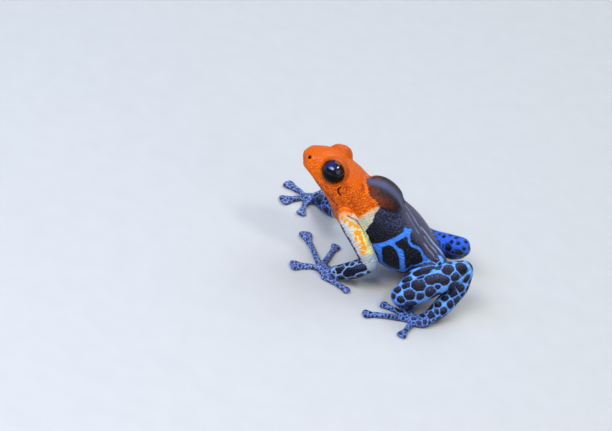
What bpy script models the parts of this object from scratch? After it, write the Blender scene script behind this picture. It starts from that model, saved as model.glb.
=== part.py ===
"""Red-headed poison frog: a still, life-size model of the whole animal, sitting on its hands and feet.

Sizes are in millimetres and become metres at the very end. The frog looks along -X, its left side
is towards -Y, and the flats under its hands and feet lie in the plane z = 0.
"""
import math

import bmesh
import bpy
from mathutils import Matrix, Vector

MM = 0.001
GAP = 0.3
SIDES = {"left": -1, "right": 1}

# Head and trunk: one lofted form along the middle line, from the tip of the snout to the rump
BODY_STATIONS = (
    # x, z, half width, rise, drop, squareness
    (-10.55, 11.55, 0.45, 0.42, 0.35, 2.2),
    (-10.42, 11.60, 0.95, 0.84, 0.72, 2.4),
    (-10.10, 11.62, 1.40, 1.22, 1.02, 2.6),
    (-9.50, 11.55, 1.76, 1.62, 1.25, 2.7),
    (-8.50, 11.30, 2.12, 2.10, 1.58, 2.7),
    (-7.40, 10.90, 2.48, 2.25, 1.92, 2.5),
    (-6.20, 10.40, 2.78, 2.30, 2.32, 2.5),
    (-5.00, 9.80, 2.88, 2.35, 2.80, 2.4),
    (-4.00, 9.20, 2.98, 2.32, 3.25, 2.2),
    (-3.00, 8.50, 3.25, 2.50, 3.65, 2.1),
    (-1.60, 7.60, 3.60, 2.90, 3.65, 2.1),
    (0.20, 6.50, 3.95, 3.25, 3.60, 2.1),
    (2.40, 5.30, 4.20, 3.30, 3.55, 2.1),
    (4.60, 4.40, 4.00, 2.80, 3.05, 2.1),
    (6.60, 3.75, 3.15, 2.00, 2.40, 2.1),
    (8.00, 3.30, 2.05, 1.45, 1.80, 2.0),
    (8.75, 3.05, 1.20, 0.95, 1.10, 2.0),
    (9.05, 2.95, 0.50, 0.40, 0.45, 2.0),
)
BODY_SIDES = 24
BODY_STEPS = 2
HEAD_LEAN = math.radians(6)
LEAN_STARTS_X = -1.0
LEAN_FULL_X = -5.0
NECK_POINT = (-4.7, 0.0, 9.6)
NECK_TILT = math.radians(20)

# Shoulder blades, which stand up behind the head
HUMP_AROUND = 20
HUMP_RINGS = 12
HUMP_CENTRE = (-0.45, 0.85, 9.35)
HUMP_RADII = (2.8, 2.15, 1.7)
HUMP_PITCH = math.radians(27)

# Eyes: a ball in a socket, under a domed lid whose opening looks outwards
EYE_X = -6.83
EYE_SPREAD = 1.92
EYE_Z = 12.0
EYE_RADIUS = 1.25
LID_RADIUS = 1.80
LID_OPENING_OFFSET = 0.42
EYE_LOOK = (-0.25, 0.95, 0.06)
EYE_AROUND = 16
EYE_RINGS = 10

# Mouth, lips, nostrils and ear discs
MOUTH_FRONT = (-10.20, 0.0, 10.82)
MOUTH_CORNER_X = -6.0
MOUTH_PITCH = math.radians(23.4)
MOUTH_SLIT = 0.24
MOUTH_DEPTH = 0.38
LIP_HEIGHT = 0.95
LIP_STANDS_PROUD = 0.12
LIP_PASSES_CORNER = 0.45
NOSTRIL = (-9.94, 1.25, 12.37)
NOSTRIL_RADIUS = 0.2
NOSTRIL_AROUND = 8
NOSTRIL_RINGS = 6
EAR = (-5.20, 2.82, 10.27)
EAR_RADIUS = 0.50
EAR_GROOVE = 0.13
EAR_AROUND = 12
EAR_RINGS = 4

# Limbs: rows of x, y, z and radius along the middle of each length
LIMBS = {
    "left": {
        "upper_arm": ((-3.90, -2.30, 7.90, 1.15), (-3.40, -3.30, 7.15, 1.12),
                      (-1.85, -4.30, 6.00, 1.02), (0.10, -4.90, 4.10, 0.98)),
        "forearm": ((0.25, -5.00, 3.75, 0.98), (-0.85, -5.00, 2.60, 1.05),
                    (-2.05, -4.90, 1.66, 0.95), (-3.05, -4.85, 1.12, 0.76)),
        "thigh": ((7.40, -1.20, 4.20, 1.30), (6.80, -3.00, 3.85, 1.60),
                  (5.90, -4.90, 3.35, 1.50), (5.10, -6.20, 2.90, 1.20)),
        "shank": ((4.70, -7.15, 2.45, 1.22), (5.70, -6.95, 2.85, 1.56), (7.30, -5.95, 3.55, 1.58),
                  (9.25, -4.30, 4.60, 1.22), (10.85, -2.95, 5.35, 0.90)),
        "tarsus": ((11.00, -2.95, 5.00, 0.90), (10.95, -3.65, 3.65, 0.92), (10.40, -4.50, 2.45, 0.95),
                   (9.65, -5.70, 1.55, 0.92), (8.85, -6.85, 1.00, 0.78)),
    },
    "right": {
        "upper_arm": ((-3.90, 2.30, 7.90, 1.15), (-4.10, 3.60, 6.60, 1.10),
                      (-4.45, 4.60, 4.70, 1.00), (-4.70, 5.20, 2.70, 0.98)),
        "forearm": ((-4.80, 5.40, 2.35, 1.02), (-5.75, 6.50, 1.90, 1.15),
                    (-6.75, 7.65, 1.40, 0.98), (-7.50, 8.45, 1.05, 0.76)),
        "thigh": ((7.40, 1.20, 4.20, 1.30), (6.60, 3.00, 3.50, 1.60),
                  (5.60, 4.40, 2.70, 1.50), (4.80, 5.40, 2.15, 1.20)),
        "shank": ((4.10, 6.40, 1.80, 1.20), (5.10, 6.10, 2.00, 1.45), (6.70, 4.90, 2.70, 1.38),
                  (8.30, 3.85, 3.75, 1.20), (9.90, 2.90, 4.60, 1.10)),
        "tarsus": ((10.25, 3.20, 4.15, 0.90), (9.95, 4.15, 2.95, 0.90), (9.35, 5.20, 1.95, 0.92),
                   (8.75, 6.20, 1.35, 0.88), (8.20, 6.95, 1.00, 0.78)),
    },
}
LIMB_SIDES = 12
LIMB_STEPS = 3
END_ANGLES = (75, 50, 25)

# Hands and feet: a flattened palm or sole with digits that end in round discs
PALM_HALF_HEIGHT = 0.55
DIGIT_RADIUS = 0.34
DIGIT_TAPER = (1.15, 0.95, 1.0)
DIGIT_FLATTEN = 0.9
DIGIT_SIDES = 8
DIGIT_STEPS = 2
DIGIT_ARCH = 0.14
DIGIT_Z = 0.28
DISC_HALF_HEIGHT = 0.30
DISC_LENGTHENS = 1.05
DISC_AROUND = 10
DISC_RINGS = 6
HANDS = {
    "left": {
        "palm": ((-3.25, -4.75, 0.72, 0.76), (-4.05, -4.35, 0.50, 0.98), (-4.85, -3.85, 0.44, 0.88)),
        "outer_root": (-4.20, -5.30),
        "digits": ((-7.50, 1.40, 0.72), (-3.90, 1.00, 0.54), (-7.55, -4.80, 0.72), (-1.45, -6.35, 0.50)),
    },
    "right": {
        "palm": ((-7.60, 8.60, 0.72, 0.76), (-8.20, 8.95, 0.50, 1.00), (-8.75, 9.15, 0.44, 0.90)),
        "outer_root": (-8.30, 9.70),
        "digits": ((-11.10, 7.40, 0.72), (-8.90, 5.90, 0.54), (-11.20, 10.60, 0.72), (-7.35, 11.10, 0.50)),
    },
}
FEET = {
    "left": {
        "palm": ((8.75, -7.00, 0.85, 0.78), (7.70, -7.90, 0.55, 0.98), (6.60, -8.05, 0.44, 0.92)),
        "outer_root": (6.90, -8.50),
        "digits": ((1.75, -9.50, 0.62), (3.40, -6.90, 0.56), (4.85, -5.75, 0.46), (6.30, -5.60, 0.42),
                   (6.05, -11.10, 0.56)),
    },
    "right": {
        "palm": ((8.10, 7.10, 0.85, 0.78), (7.10, 8.00, 0.55, 0.98), (6.10, 8.15, 0.44, 0.92)),
        "outer_root": (6.40, 8.60),
        "digits": ((1.30, 9.60, 0.62), (2.80, 7.00, 0.56), (4.30, 5.85, 0.46), (5.75, 5.70, 0.42),
                   (5.55, 11.10, 0.56)),
    },
}
DIGIT_ROOT_SHIFT = 0.35

# Finish of each kind of node: colour, roughness
FINISH = {
    "head": ((0.82, 0.20, 0.02), 0.42),
    "torso": ((0.05, 0.05, 0.06), 0.38),
    "eye": ((0.004, 0.004, 0.005), 0.05),
    "upper_arm": ((0.75, 0.68, 0.42), 0.42),
    "forearm": ((0.10, 0.18, 0.40), 0.40),
    "hand": ((0.14, 0.20, 0.36), 0.45),
    "thigh": ((0.06, 0.16, 0.50), 0.40),
    "shank": ((0.08, 0.22, 0.62), 0.40),
    "tarsus": ((0.08, 0.20, 0.55), 0.40),
    "foot": ((0.12, 0.20, 0.42), 0.45),
}
MERGE_DISTANCE = 0.0002
SHARP_ANGLE = math.radians(40)
BIG = 40.0


def clear_scene():
    """Remove whatever the file holds."""
    for thing in list(bpy.data.objects):
        bpy.data.objects.remove(thing, do_unlink=True)


def new_object(name, bm):
    """An object in the scene made from a bmesh, which is freed."""
    bmesh.ops.recalc_face_normals(bm, faces=bm.faces)
    mesh = bpy.data.meshes.new(name)
    bm.to_mesh(mesh)
    bm.free()
    made = bpy.data.objects.new(name, mesh)
    bpy.context.scene.collection.objects.link(made)
    return made


def smooth_rows(keys, steps):
    """Rows read from a Catmull-Rom curve that passes through the rows of keys."""
    rows = [tuple(2 * a - b for a, b in zip(keys[0], keys[1]))]
    rows += list(keys)
    rows.append(tuple(2 * a - b for a, b in zip(keys[-1], keys[-2])))
    found = []
    for i in range(1, len(rows) - 2):
        for step in range(steps):
            t = step / steps
            found.append(tuple(
                0.5 * (2 * b + (c - a) * t + (2 * a - 5 * b + 4 * c - d) * t ** 2
                       + (3 * b - a - 3 * c + d) * t ** 3)
                for a, b, c, d in zip(*rows[i - 1:i + 3])))
    found.append(tuple(keys[-1]))
    return found


def directions(points):
    """The unit direction of a path at each of its points."""
    last = len(points) - 1
    return [(points[min(i + 1, last)] - points[max(i - 1, 0)]).normalized() for i in range(last + 1)]


def section(centre, across, up, half_width, rise, drop, squareness, sides):
    """A closed ring of points, rounder or squarer, in the plane of across and up."""
    ring = []
    for i in range(sides):
        angle = 2 * math.pi * i / sides
        c, s = math.cos(angle), math.sin(angle)
        wide = math.copysign(abs(c) ** (2 / squareness), c) * half_width
        high = math.copysign(abs(s) ** (2 / squareness), s) * (rise if s > 0 else drop)
        ring.append(centre + across * wide + up * high)
    return ring


def loft(name, rings):
    """A closed form through rings of equally many points, with its ends capped."""
    bm = bmesh.new()
    made = [[bm.verts.new(p) for p in ring] for ring in rings]
    for near, far in zip(made, made[1:]):
        for i in range(len(near)):
            k = (i + 1) % len(near)
            bm.faces.new((near[i], near[k], far[k], far[i]))
    bm.faces.new(made[0][::-1])
    bm.faces.new(made[-1])
    return new_object(name, bm)


def lean_at(x):
    """How far the body leans over to its right at a station."""
    share = (LEAN_STARTS_X - x) / (LEAN_STARTS_X - LEAN_FULL_X)
    return HEAD_LEAN * min(max(share, 0.0), 1.0)


def body_form(name):
    """The whole head and trunk as one loft."""
    rows = smooth_rows(BODY_STATIONS, BODY_STEPS)
    points = [Vector((row[0], 0, row[1])) for row in rows]
    rings = []
    for row, point, along in zip(rows, points, directions(points)):
        turn = Matrix.Rotation(lean_at(row[0]), 3, -along)
        across = turn @ Vector((0, 1, 0))
        up = turn @ along.cross(Vector((0, 1, 0)))
        rings.append(section(point, across, up, *row[2:], BODY_SIDES))
    return loft(name, rings)


def limb_form(name, keys, flatten=1.0, sides=LIMB_SIDES, steps=LIMB_STEPS, end_angles=END_ANGLES):
    """A tapered length of limb, rounded at its ends, from rows of x, y, z and radius."""
    rows = smooth_rows(keys, steps)
    points = [Vector(row[:3]) for row in rows]
    along = directions(points)

    def ring(i, shift, scale):
        across = along[i].cross(Vector((0, 0, 1))).normalized()
        up = across.cross(along[i])
        radius = rows[i][3] * scale
        centre = points[i] + along[i] * shift * rows[i][3] * min(flatten, 1.0)
        return section(centre, across, up, radius, radius * flatten, radius * flatten, 2.0, sides)

    ends = [(math.sin(math.radians(a)), math.cos(math.radians(a))) for a in end_angles]
    rings = [ring(0, -shift, scale) for shift, scale in ends]
    rings += [ring(i, 0.0, 1.0) for i in range(len(rows))]
    rings += [ring(len(rows) - 1, shift, scale) for shift, scale in reversed(ends)]
    return loft(name, rings)


def ball(name, centre, radii, turn=Matrix.Identity(4), around=16, rings=10):
    """An ellipsoid, turned about its own centre."""
    bm = bmesh.new()
    bmesh.ops.create_uvsphere(bm, u_segments=around, v_segments=rings, radius=1.0)
    place = Matrix.Translation(centre) @ turn @ Matrix.Diagonal((*radii, 1))
    bmesh.ops.transform(bm, matrix=place, verts=bm.verts)
    return new_object(name, bm)


def box(name, place, size):
    """A box of a given size about the middle of a place."""
    bm = bmesh.new()
    bmesh.ops.create_cube(bm, size=1.0)
    bmesh.ops.transform(bm, matrix=place @ Matrix.Diagonal((*size, 1)), verts=bm.verts)
    return new_object(name, bm)


def grown(source, distance):
    """A copy of a form with its surface moved out, or in, by a distance."""
    bm = bmesh.new()
    bm.from_mesh(source.data)
    bm.normal_update()
    moved = [vert.co + vert.normal * distance for vert in bm.verts]
    for vert, place in zip(bm.verts, moved):
        vert.co = place
    return new_object(source.name + "_grown", bm)


def remove(things):
    """Delete objects that have done their work."""
    for thing in things:
        bpy.data.objects.remove(thing, do_unlink=True)


def largest_body(bm):
    """Keep only the closed surface that holds the most volume."""
    bm.verts.ensure_lookup_table()
    unseen = set(bm.verts)
    bodies = []
    while unseen:
        stack = [unseen.pop()]
        found = set(stack)
        while stack:
            for edge in stack.pop().link_edges:
                for vert in edge.verts:
                    if vert in unseen:
                        unseen.discard(vert)
                        found.add(vert)
                        stack.append(vert)
        bodies.append(found)

    def volume(verts):
        faces = {face for vert in verts for face in vert.link_faces}
        total = 0.0
        for face in faces:
            total += face.calc_center_median().dot(face.normal) * face.calc_area() / 3
        return total

    kept = max(bodies, key=volume)
    bmesh.ops.delete(bm, geom=[vert for vert in bm.verts if vert not in kept], context="VERTS")


def combine(base, others, operation):
    """Join others to a form, or cut them out of it, and remove them."""
    group = bpy.data.collections.new(base.name + "_tools")
    for other in others:
        group.objects.link(other)
    step = base.modifiers.new(operation.lower(), "BOOLEAN")
    step.operation = operation
    step.operand_type = "COLLECTION"
    step.collection = group
    step.solver = "EXACT"
    result = base.evaluated_get(bpy.context.evaluated_depsgraph_get())
    bm = bmesh.new()
    bm.from_mesh(result.to_mesh())
    result.to_mesh_clear()
    base.modifiers.clear()
    bmesh.ops.remove_doubles(bm, verts=bm.verts, dist=MERGE_DISTANCE)
    bmesh.ops.dissolve_degenerate(bm, edges=bm.edges, dist=MERGE_DISTANCE)
    bmesh.ops.triangulate(bm, faces=bm.faces)
    largest_body(bm)
    bmesh.ops.recalc_face_normals(bm, faces=bm.faces)
    bm.to_mesh(base.data)
    bm.free()
    remove(others)
    bpy.data.collections.remove(group)
    return base


def join(base, *others):
    """Others fused with a form into one closed body."""
    return combine(base, list(others), "UNION")


def carve(base, *cutters):
    """A form with cutters taken out of it."""
    return combine(base, list(cutters), "DIFFERENCE")


def beside(side, point):
    """A point given for the right side, on the named side of the leaning head."""
    x, y, z = point
    y *= SIDES[side]
    return Vector((x, y, z - y * math.sin(HEAD_LEAN)))


def neck_half(name, keep_front):
    """The head or the trunk half of the body form, cut by a plane across the neck."""
    half = body_form(name)
    normal = Vector((math.cos(NECK_TILT), 0, -math.sin(NECK_TILT)))
    place = Matrix.Translation(Vector(NECK_POINT)) @ Matrix.Rotation(NECK_TILT, 4, "Y")
    shift = BIG / 2 if keep_front else GAP - BIG / 2
    blade = box(name + "_blade", Matrix.Translation(normal * shift) @ place, (BIG, BIG, BIG))
    return carve(half, blade)


def mouth_place(shift):
    """The middle of a plate in the plane of the mouth, its rear edge at the corners."""
    lean = Matrix.Rotation(-HEAD_LEAN, 4, "X")
    pitch = Matrix.Rotation(MOUTH_PITCH, 4, "Y")
    return Matrix.Translation(MOUTH_FRONT) @ lean @ pitch @ Matrix.Translation((shift, 0, 0))


def mouth_plate(name, thickness, past_corner):
    """A plate from in front of the snout back to the corners of the mouth, or past them."""
    reach = (MOUTH_CORNER_X - MOUTH_FRONT[0]) / math.cos(MOUTH_PITCH) + past_corner
    return box(name, mouth_place(reach - BIG / 2), (BIG, BIG, thickness))


def lips():
    """The raised rims along both jaws."""
    rim = grown_body("lips", LIP_STANDS_PROUD)
    return combine(rim, [mouth_plate("lip_plate", LIP_HEIGHT, LIP_PASSES_CORNER)], "INTERSECT")


def grown_body(name, distance):
    """The body form with its surface moved out, or in where the distance is negative."""
    plain = body_form(name + "_plain")
    form = grown(plain, distance)
    form.name = name
    remove([plain])
    return form


def mouth_slit():
    """The cutter for the line of the mouth, as deep as the groove and no deeper."""
    return carve(mouth_plate("slit", MOUTH_SLIT, 0.0), grown_body("slit_core", -MOUTH_DEPTH))


def eye_centre(side):
    """The middle of an eyeball."""
    return beside(side, (EYE_X, EYE_SPREAD, EYE_Z))


def look(side):
    """The direction in which an eye looks."""
    x, y, z = EYE_LOOK
    return Vector((x, y * SIDES[side], z)).normalized()


def lid(side):
    """The domed upper and lower lid, open towards the side."""
    dome = ball("lid_" + side, eye_centre(side), (LID_RADIUS,) * 3, around=EYE_AROUND, rings=EYE_RINGS)
    aim = look(side).to_track_quat("Z", "Y").to_matrix().to_4x4()
    reach = LID_OPENING_OFFSET + BIG / 2
    place = Matrix.Translation(eye_centre(side) + look(side) * reach) @ aim
    return carve(dome, box("lid_blade", place, (BIG, BIG, BIG)))


def eye(side):
    """The eyeball."""
    return ball("eye_" + side, eye_centre(side), (EYE_RADIUS,) * 3, around=EYE_AROUND, rings=EYE_RINGS)


def socket(side):
    """The cutter that an eyeball sits in."""
    radii = (EYE_RADIUS + GAP,) * 3
    return ball("socket_" + side, eye_centre(side), radii, around=EYE_AROUND, rings=EYE_RINGS)


def nostril(side):
    """The cutter for a nostril."""
    radii = (NOSTRIL_RADIUS,) * 3
    return ball("nostril_" + side, beside(side, NOSTRIL), radii, around=NOSTRIL_AROUND, rings=NOSTRIL_RINGS)


def ear_ring(side):
    """The cutter for the groove round the ear disc."""
    bpy.ops.mesh.primitive_torus_add(major_segments=EAR_AROUND, minor_segments=EAR_RINGS,
                                     major_radius=EAR_RADIUS, minor_radius=EAR_GROOVE)
    ring = bpy.context.object
    turn = Matrix.Rotation(math.radians(90) * SIDES[side], 4, "X")
    ring.data.transform(Matrix.Translation(beside(side, EAR)) @ turn)
    return ring


def head():
    """The head with its lids, lips, mouth, nostrils and ear discs."""
    form = join(neck_half("head", True), lips(), *[lid(side) for side in SIDES])
    carve(form, mouth_slit())
    return carve(form, *[make(side) for side in SIDES for make in (socket, nostril, ear_ring)])


def hump(side):
    """A shoulder blade under the skin of the back."""
    x, y, z = HUMP_CENTRE
    pitch = Matrix.Rotation(HUMP_PITCH, 4, "Y")
    return ball("hump_" + side, (x, y * SIDES[side], z), HUMP_RADII, pitch, HUMP_AROUND, HUMP_RINGS)


def torso():
    """The trunk with both shoulder blades."""
    return join(neck_half("torso", False), *[hump(side) for side in SIDES])


def digit(name, root, tip, disc_radius):
    """A slightly arched finger or toe and the disc at its end."""
    middle = (root + tip) / 2 + Vector((0, 0, DIGIT_ARCH))
    radii = [DIGIT_RADIUS * share for share in DIGIT_TAPER]
    rows = [(*place, radius) for place, radius in zip((root, middle, tip), radii)]
    shaft = limb_form(name, rows, DIGIT_FLATTEN, DIGIT_SIDES, DIGIT_STEPS, ())
    turn = (tip - root).to_track_quat("X", "Z").to_matrix().to_4x4()
    radii = (disc_radius * DISC_LENGTHENS, disc_radius, DISC_HALF_HEIGHT)
    disc = ball(name + "_disc", tip, radii, turn, DISC_AROUND, DISC_RINGS)
    return [shaft, disc]


def hand_or_foot(name, plan):
    """A palm or sole with all its digits, cut flat where it rests."""
    flatten = PALM_HALF_HEIGHT / plan["palm"][1][3]
    form = limb_form(name, plan["palm"], flatten)
    end = Vector((*plan["palm"][-1][:2], DIGIT_Z))
    pieces = []
    for i, (x, y, disc_radius) in enumerate(plan["digits"]):
        tip = Vector((x, y, DIGIT_Z))
        root = end + (tip - end).normalized() * DIGIT_ROOT_SHIFT
        if i == len(plan["digits"]) - 1:
            root = Vector((*plan["outer_root"], DIGIT_Z))
        pieces += digit(f"{name}_digit_{i}", root, tip, disc_radius)
    join(form, *pieces)
    below = Matrix.Translation((0, 0, -BIG / 2))
    return carve(form, box("floor_blade", below, (BIG * 2, BIG * 2, BIG)))


def arm(side, trunk, skull):
    """Upper arm, forearm and hand, each cut clear of what it grows from."""
    plan = LIMBS[side]
    upper = limb_form("upper_arm_" + side, plan["upper_arm"])
    whole_upper = grown(upper, GAP)
    carve(upper, grown(trunk, GAP), grown(skull, GAP))
    fore = limb_form("forearm_" + side, plan["forearm"])
    whole_fore = grown(fore, GAP)
    carve(fore, whole_upper)
    hand = carve(hand_or_foot("hand_" + side, HANDS[side]), whole_fore)
    return [upper, fore, hand]


def leg(side, trunk):
    """Thigh, shank, tarsus and foot, each cut clear of what it grows from."""
    plan = LIMBS[side]
    shank = limb_form("shank_" + side, plan["shank"])
    thigh = limb_form("thigh_" + side, plan["thigh"])
    carve(thigh, grown(trunk, GAP), grown(shank, GAP))
    tarsus = limb_form("tarsus_" + side, plan["tarsus"])
    whole_tarsus = grown(tarsus, GAP)
    carve(tarsus, grown(shank, GAP))
    foot = carve(hand_or_foot("foot_" + side, FEET[side]), whole_tarsus)
    return [thigh, shank, tarsus, foot]


def finish_of(name):
    """A material for one node, in the colour of its kind."""
    kind = name
    for side in SIDES:
        kind = kind.removesuffix("_" + side)
    colour, roughness = FINISH[kind]
    material = bpy.data.materials.new(name + "_finish")
    material.use_nodes = True
    shader = material.node_tree.nodes["Principled BSDF"]
    shader.inputs["Base Color"].default_value = (*colour, 1)
    shader.inputs["Roughness"].default_value = roughness
    shader.inputs["Metallic"].default_value = 0.0
    return material


def place_in_metres(parts):
    """Put the origin under the middle of the frog, at the floor, and turn millimetres into metres."""
    corners = [vert.co for part in parts for vert in part.data.vertices]
    middle_x = (min(c.x for c in corners) + max(c.x for c in corners)) / 2
    middle_y = (min(c.y for c in corners) + max(c.y for c in corners)) / 2
    place = Matrix.Scale(MM, 4) @ Matrix.Translation((-middle_x, -middle_y, 0))
    for part in parts:
        part.data.transform(place)


def build():
    """Make every node of the frog."""
    clear_scene()
    group = bpy.data.collections.new("red_headed_poison_frog")
    bpy.context.scene.collection.children.link(group)
    skull = head()
    trunk = torso()
    parts = [skull, trunk, *[eye(side) for side in SIDES]]
    for side in SIDES:
        parts += arm(side, trunk, skull) + leg(side, trunk)
    place_in_metres(parts)
    for part in parts:
        bpy.context.scene.collection.objects.unlink(part)
        group.objects.link(part)
        part.data.materials.clear()
        part.data.materials.append(finish_of(part.name))
        part.data.shade_smooth()
        part.data.set_sharp_from_angle(angle=SHARP_ANGLE)


build()
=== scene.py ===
"""The red-headed poison frog dressed for its portrait: one moist, spotted skin over every length of
its body, two glossy eyes, a pale floor, soft studio light and the camera.

The skin is made from named stations and limb rows like those of the solids, in millimetres, then
fused, relaxed, folded and marked, and moved into the solids' frame in metres.
"""
import math

import bpy
import numpy as np
from mathutils import Matrix, Vector
from mathutils.bvhtree import BVHTree


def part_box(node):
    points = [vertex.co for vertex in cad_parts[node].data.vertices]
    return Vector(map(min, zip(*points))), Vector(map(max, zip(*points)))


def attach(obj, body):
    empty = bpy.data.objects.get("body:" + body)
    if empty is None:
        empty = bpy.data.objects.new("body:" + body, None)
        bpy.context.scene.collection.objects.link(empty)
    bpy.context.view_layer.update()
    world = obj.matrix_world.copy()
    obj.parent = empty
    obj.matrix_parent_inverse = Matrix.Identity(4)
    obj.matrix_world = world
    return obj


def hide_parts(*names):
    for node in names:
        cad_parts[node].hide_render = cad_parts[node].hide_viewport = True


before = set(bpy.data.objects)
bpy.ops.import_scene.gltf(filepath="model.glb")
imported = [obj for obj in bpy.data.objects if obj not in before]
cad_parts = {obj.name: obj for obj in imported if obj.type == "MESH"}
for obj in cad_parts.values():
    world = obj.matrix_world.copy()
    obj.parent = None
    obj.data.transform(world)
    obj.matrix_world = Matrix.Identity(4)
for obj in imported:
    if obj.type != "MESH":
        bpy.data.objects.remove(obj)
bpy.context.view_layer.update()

MM = 0.001
SIDES = {"left": -1, "right": 1}

# Head and trunk, from the tip of the snout to the rump
BODY_STATIONS = (
    # x, z, half width, rise, drop, squareness
    (-10.55, 11.55, 0.45, 0.42, 0.35, 2.2),
    (-10.42, 11.60, 0.95, 0.84, 0.72, 2.4),
    (-10.10, 11.62, 1.40, 1.22, 1.02, 2.6),
    (-9.50, 11.55, 1.76, 1.62, 1.25, 2.7),
    (-8.50, 11.30, 2.12, 2.10, 1.58, 2.7),
    (-7.40, 10.90, 2.48, 2.25, 1.92, 2.5),
    (-6.20, 10.40, 2.78, 2.30, 2.32, 2.5),
    (-5.00, 9.80, 2.88, 2.35, 2.80, 2.4),
    (-4.00, 9.20, 2.98, 2.32, 3.25, 2.2),
    (-3.00, 8.50, 3.25, 2.50, 3.65, 2.1),
    (-1.60, 7.60, 3.60, 2.90, 3.65, 2.1),
    (0.20, 6.50, 3.95, 3.25, 3.60, 2.1),
    (2.40, 5.30, 4.18, 3.28, 3.55, 2.1),
    (4.60, 4.40, 3.80, 2.70, 3.05, 2.1),
    (6.60, 3.75, 2.55, 1.75, 2.35, 2.1),
    (7.90, 3.30, 1.40, 1.15, 1.70, 2.0),
    (8.50, 3.10, 0.90, 0.80, 1.00, 2.0),
    (8.80, 3.00, 0.42, 0.38, 0.42, 2.0),
)
HEAD_LEAN = math.radians(6)
LEAN_STARTS_X = -1.0
LEAN_FULL_X = -5.0
HUMP_CENTRE = (-0.45, 0.85, 9.35)
HUMP_RADII = (2.8, 2.15, 1.7)
HUMP_PITCH = math.radians(27)

# Eyes, lids, mouth, nostrils and ears
EYE_X = -6.83
EYE_SPREAD = 1.92
EYE_Z = 12.0
EYE_RADIUS = 1.42
EYE_LOOK = (-0.25, 0.95, 0.06)
LID_RADIUS = 1.62
LID_OPENING_OFFSET = 0.28
LID_EDGE = 0.13
EYE_CLEARANCE = 0.06
MOUTH_FRONT = (-10.20, 0.0, 10.74)
MOUTH_CORNER_X = -6.4
MOUTH_PITCH = math.radians(27.5)
NOSTRIL = (-9.94, 1.25, 12.37)
EAR = (-5.20, 2.82, 10.27)
EAR_RADIUS = 0.50
# The way the skin faces where painted shade darkens it under the jaw
JAW_SHADE_WAY = (-0.86, 0.0, -0.51)

# Limbs: rows of x, y, z and radius
LIMBS = {
    "left": {
        "upper_arm": ((-3.90, -2.30, 7.90, 1.15), (-3.40, -3.30, 7.15, 1.12),
                      (-1.85, -4.30, 6.00, 1.02), (0.10, -4.90, 4.10, 0.98)),
        "forearm": ((0.25, -5.00, 3.75, 0.98), (-0.85, -5.00, 2.60, 1.05),
                    (-2.05, -4.90, 1.66, 0.95), (-3.05, -4.85, 1.12, 0.76)),
        "thigh": ((7.40, -1.20, 3.70, 1.30), (6.80, -3.00, 3.30, 1.50),
                  (5.90, -4.90, 3.15, 1.45), (5.10, -6.20, 2.80, 1.20)),
        "shank": ((4.70, -7.15, 2.45, 1.22), (5.75, -6.90, 3.00, 1.44), (7.35, -5.85, 3.95, 1.40),
                  (9.25, -4.20, 5.18, 1.48), (10.62, -2.95, 5.53, 1.10)),
        "tarsus": ((10.90, -2.95, 5.00, 0.98), (10.70, -3.65, 3.65, 1.15), (10.20, -4.50, 2.50, 1.10),
                   (9.60, -5.70, 1.75, 1.08), (8.85, -6.85, 1.12, 0.90)),
    },
    "right": {
        "upper_arm": ((-3.90, 2.30, 7.90, 1.15), (-4.10, 3.60, 6.60, 1.10),
                      (-4.45, 4.60, 4.70, 1.00), (-4.70, 5.20, 2.70, 0.98)),
        "forearm": ((-4.80, 5.40, 2.35, 1.02), (-5.75, 6.50, 1.90, 1.15),
                    (-6.75, 7.65, 1.40, 0.98), (-7.50, 8.45, 1.05, 0.76)),
        "thigh": ((6.90, 1.00, 3.80, 1.20), (6.40, 2.90, 3.40, 1.50),
                  (5.60, 4.40, 2.70, 1.50), (4.80, 5.40, 2.15, 1.20)),
        "shank": ((4.10, 6.40, 1.80, 1.20), (5.10, 6.10, 2.00, 1.45), (6.70, 4.90, 2.70, 1.38),
                  (8.30, 3.85, 3.75, 1.20), (9.90, 2.90, 4.60, 1.10)),
        "tarsus": ((10.25, 3.20, 4.15, 0.90), (9.95, 4.15, 2.95, 0.90), (9.35, 5.20, 1.95, 0.92),
                   (8.75, 6.20, 1.35, 0.88), (8.20, 6.95, 1.00, 0.78)),
    },
}
PALM_HALF_HEIGHT = 0.55
DIGIT_RADIUS = 0.34
DIGIT_ARCH = 0.14
DIGIT_Z = 0.28
DIGIT_ROOT_SHIFT = 0.35
DISC_SQUARENESS = 2.4
DISC_ROWS = (
    # shares of a disc's radius: distance past its middle, half width; and half height in millimetres
    (-1.70, 0.46, 0.30),
    (-1.05, 0.52, 0.29),
    (-0.45, 0.76, 0.28),
    (0.10, 0.98, 0.28),
    (0.50, 1.05, 0.26),
    (0.82, 0.92, 0.20),
    (1.00, 0.60, 0.10),
)
HANDS = {
    "left": {
        "palm": ((-3.25, -4.75, 0.72, 0.76), (-4.05, -4.35, 0.50, 0.98), (-4.85, -3.85, 0.44, 0.88)),
        "outer_root": (-4.20, -5.30),
        "digits": ((-7.50, 1.40, 0.80), (-3.90, 1.00, 0.58), (-7.55, -4.80, 0.78), (-1.45, -6.35, 0.50)),
    },
    "right": {
        "palm": ((-7.60, 8.60, 0.72, 0.76), (-8.20, 8.95, 0.50, 1.00), (-8.75, 9.15, 0.44, 0.90)),
        "outer_root": (-8.30, 9.70),
        "digits": ((-11.10, 7.40, 0.78), (-8.90, 5.90, 0.58), (-11.20, 10.60, 0.76), (-7.35, 11.10, 0.50)),
    },
}
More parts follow.
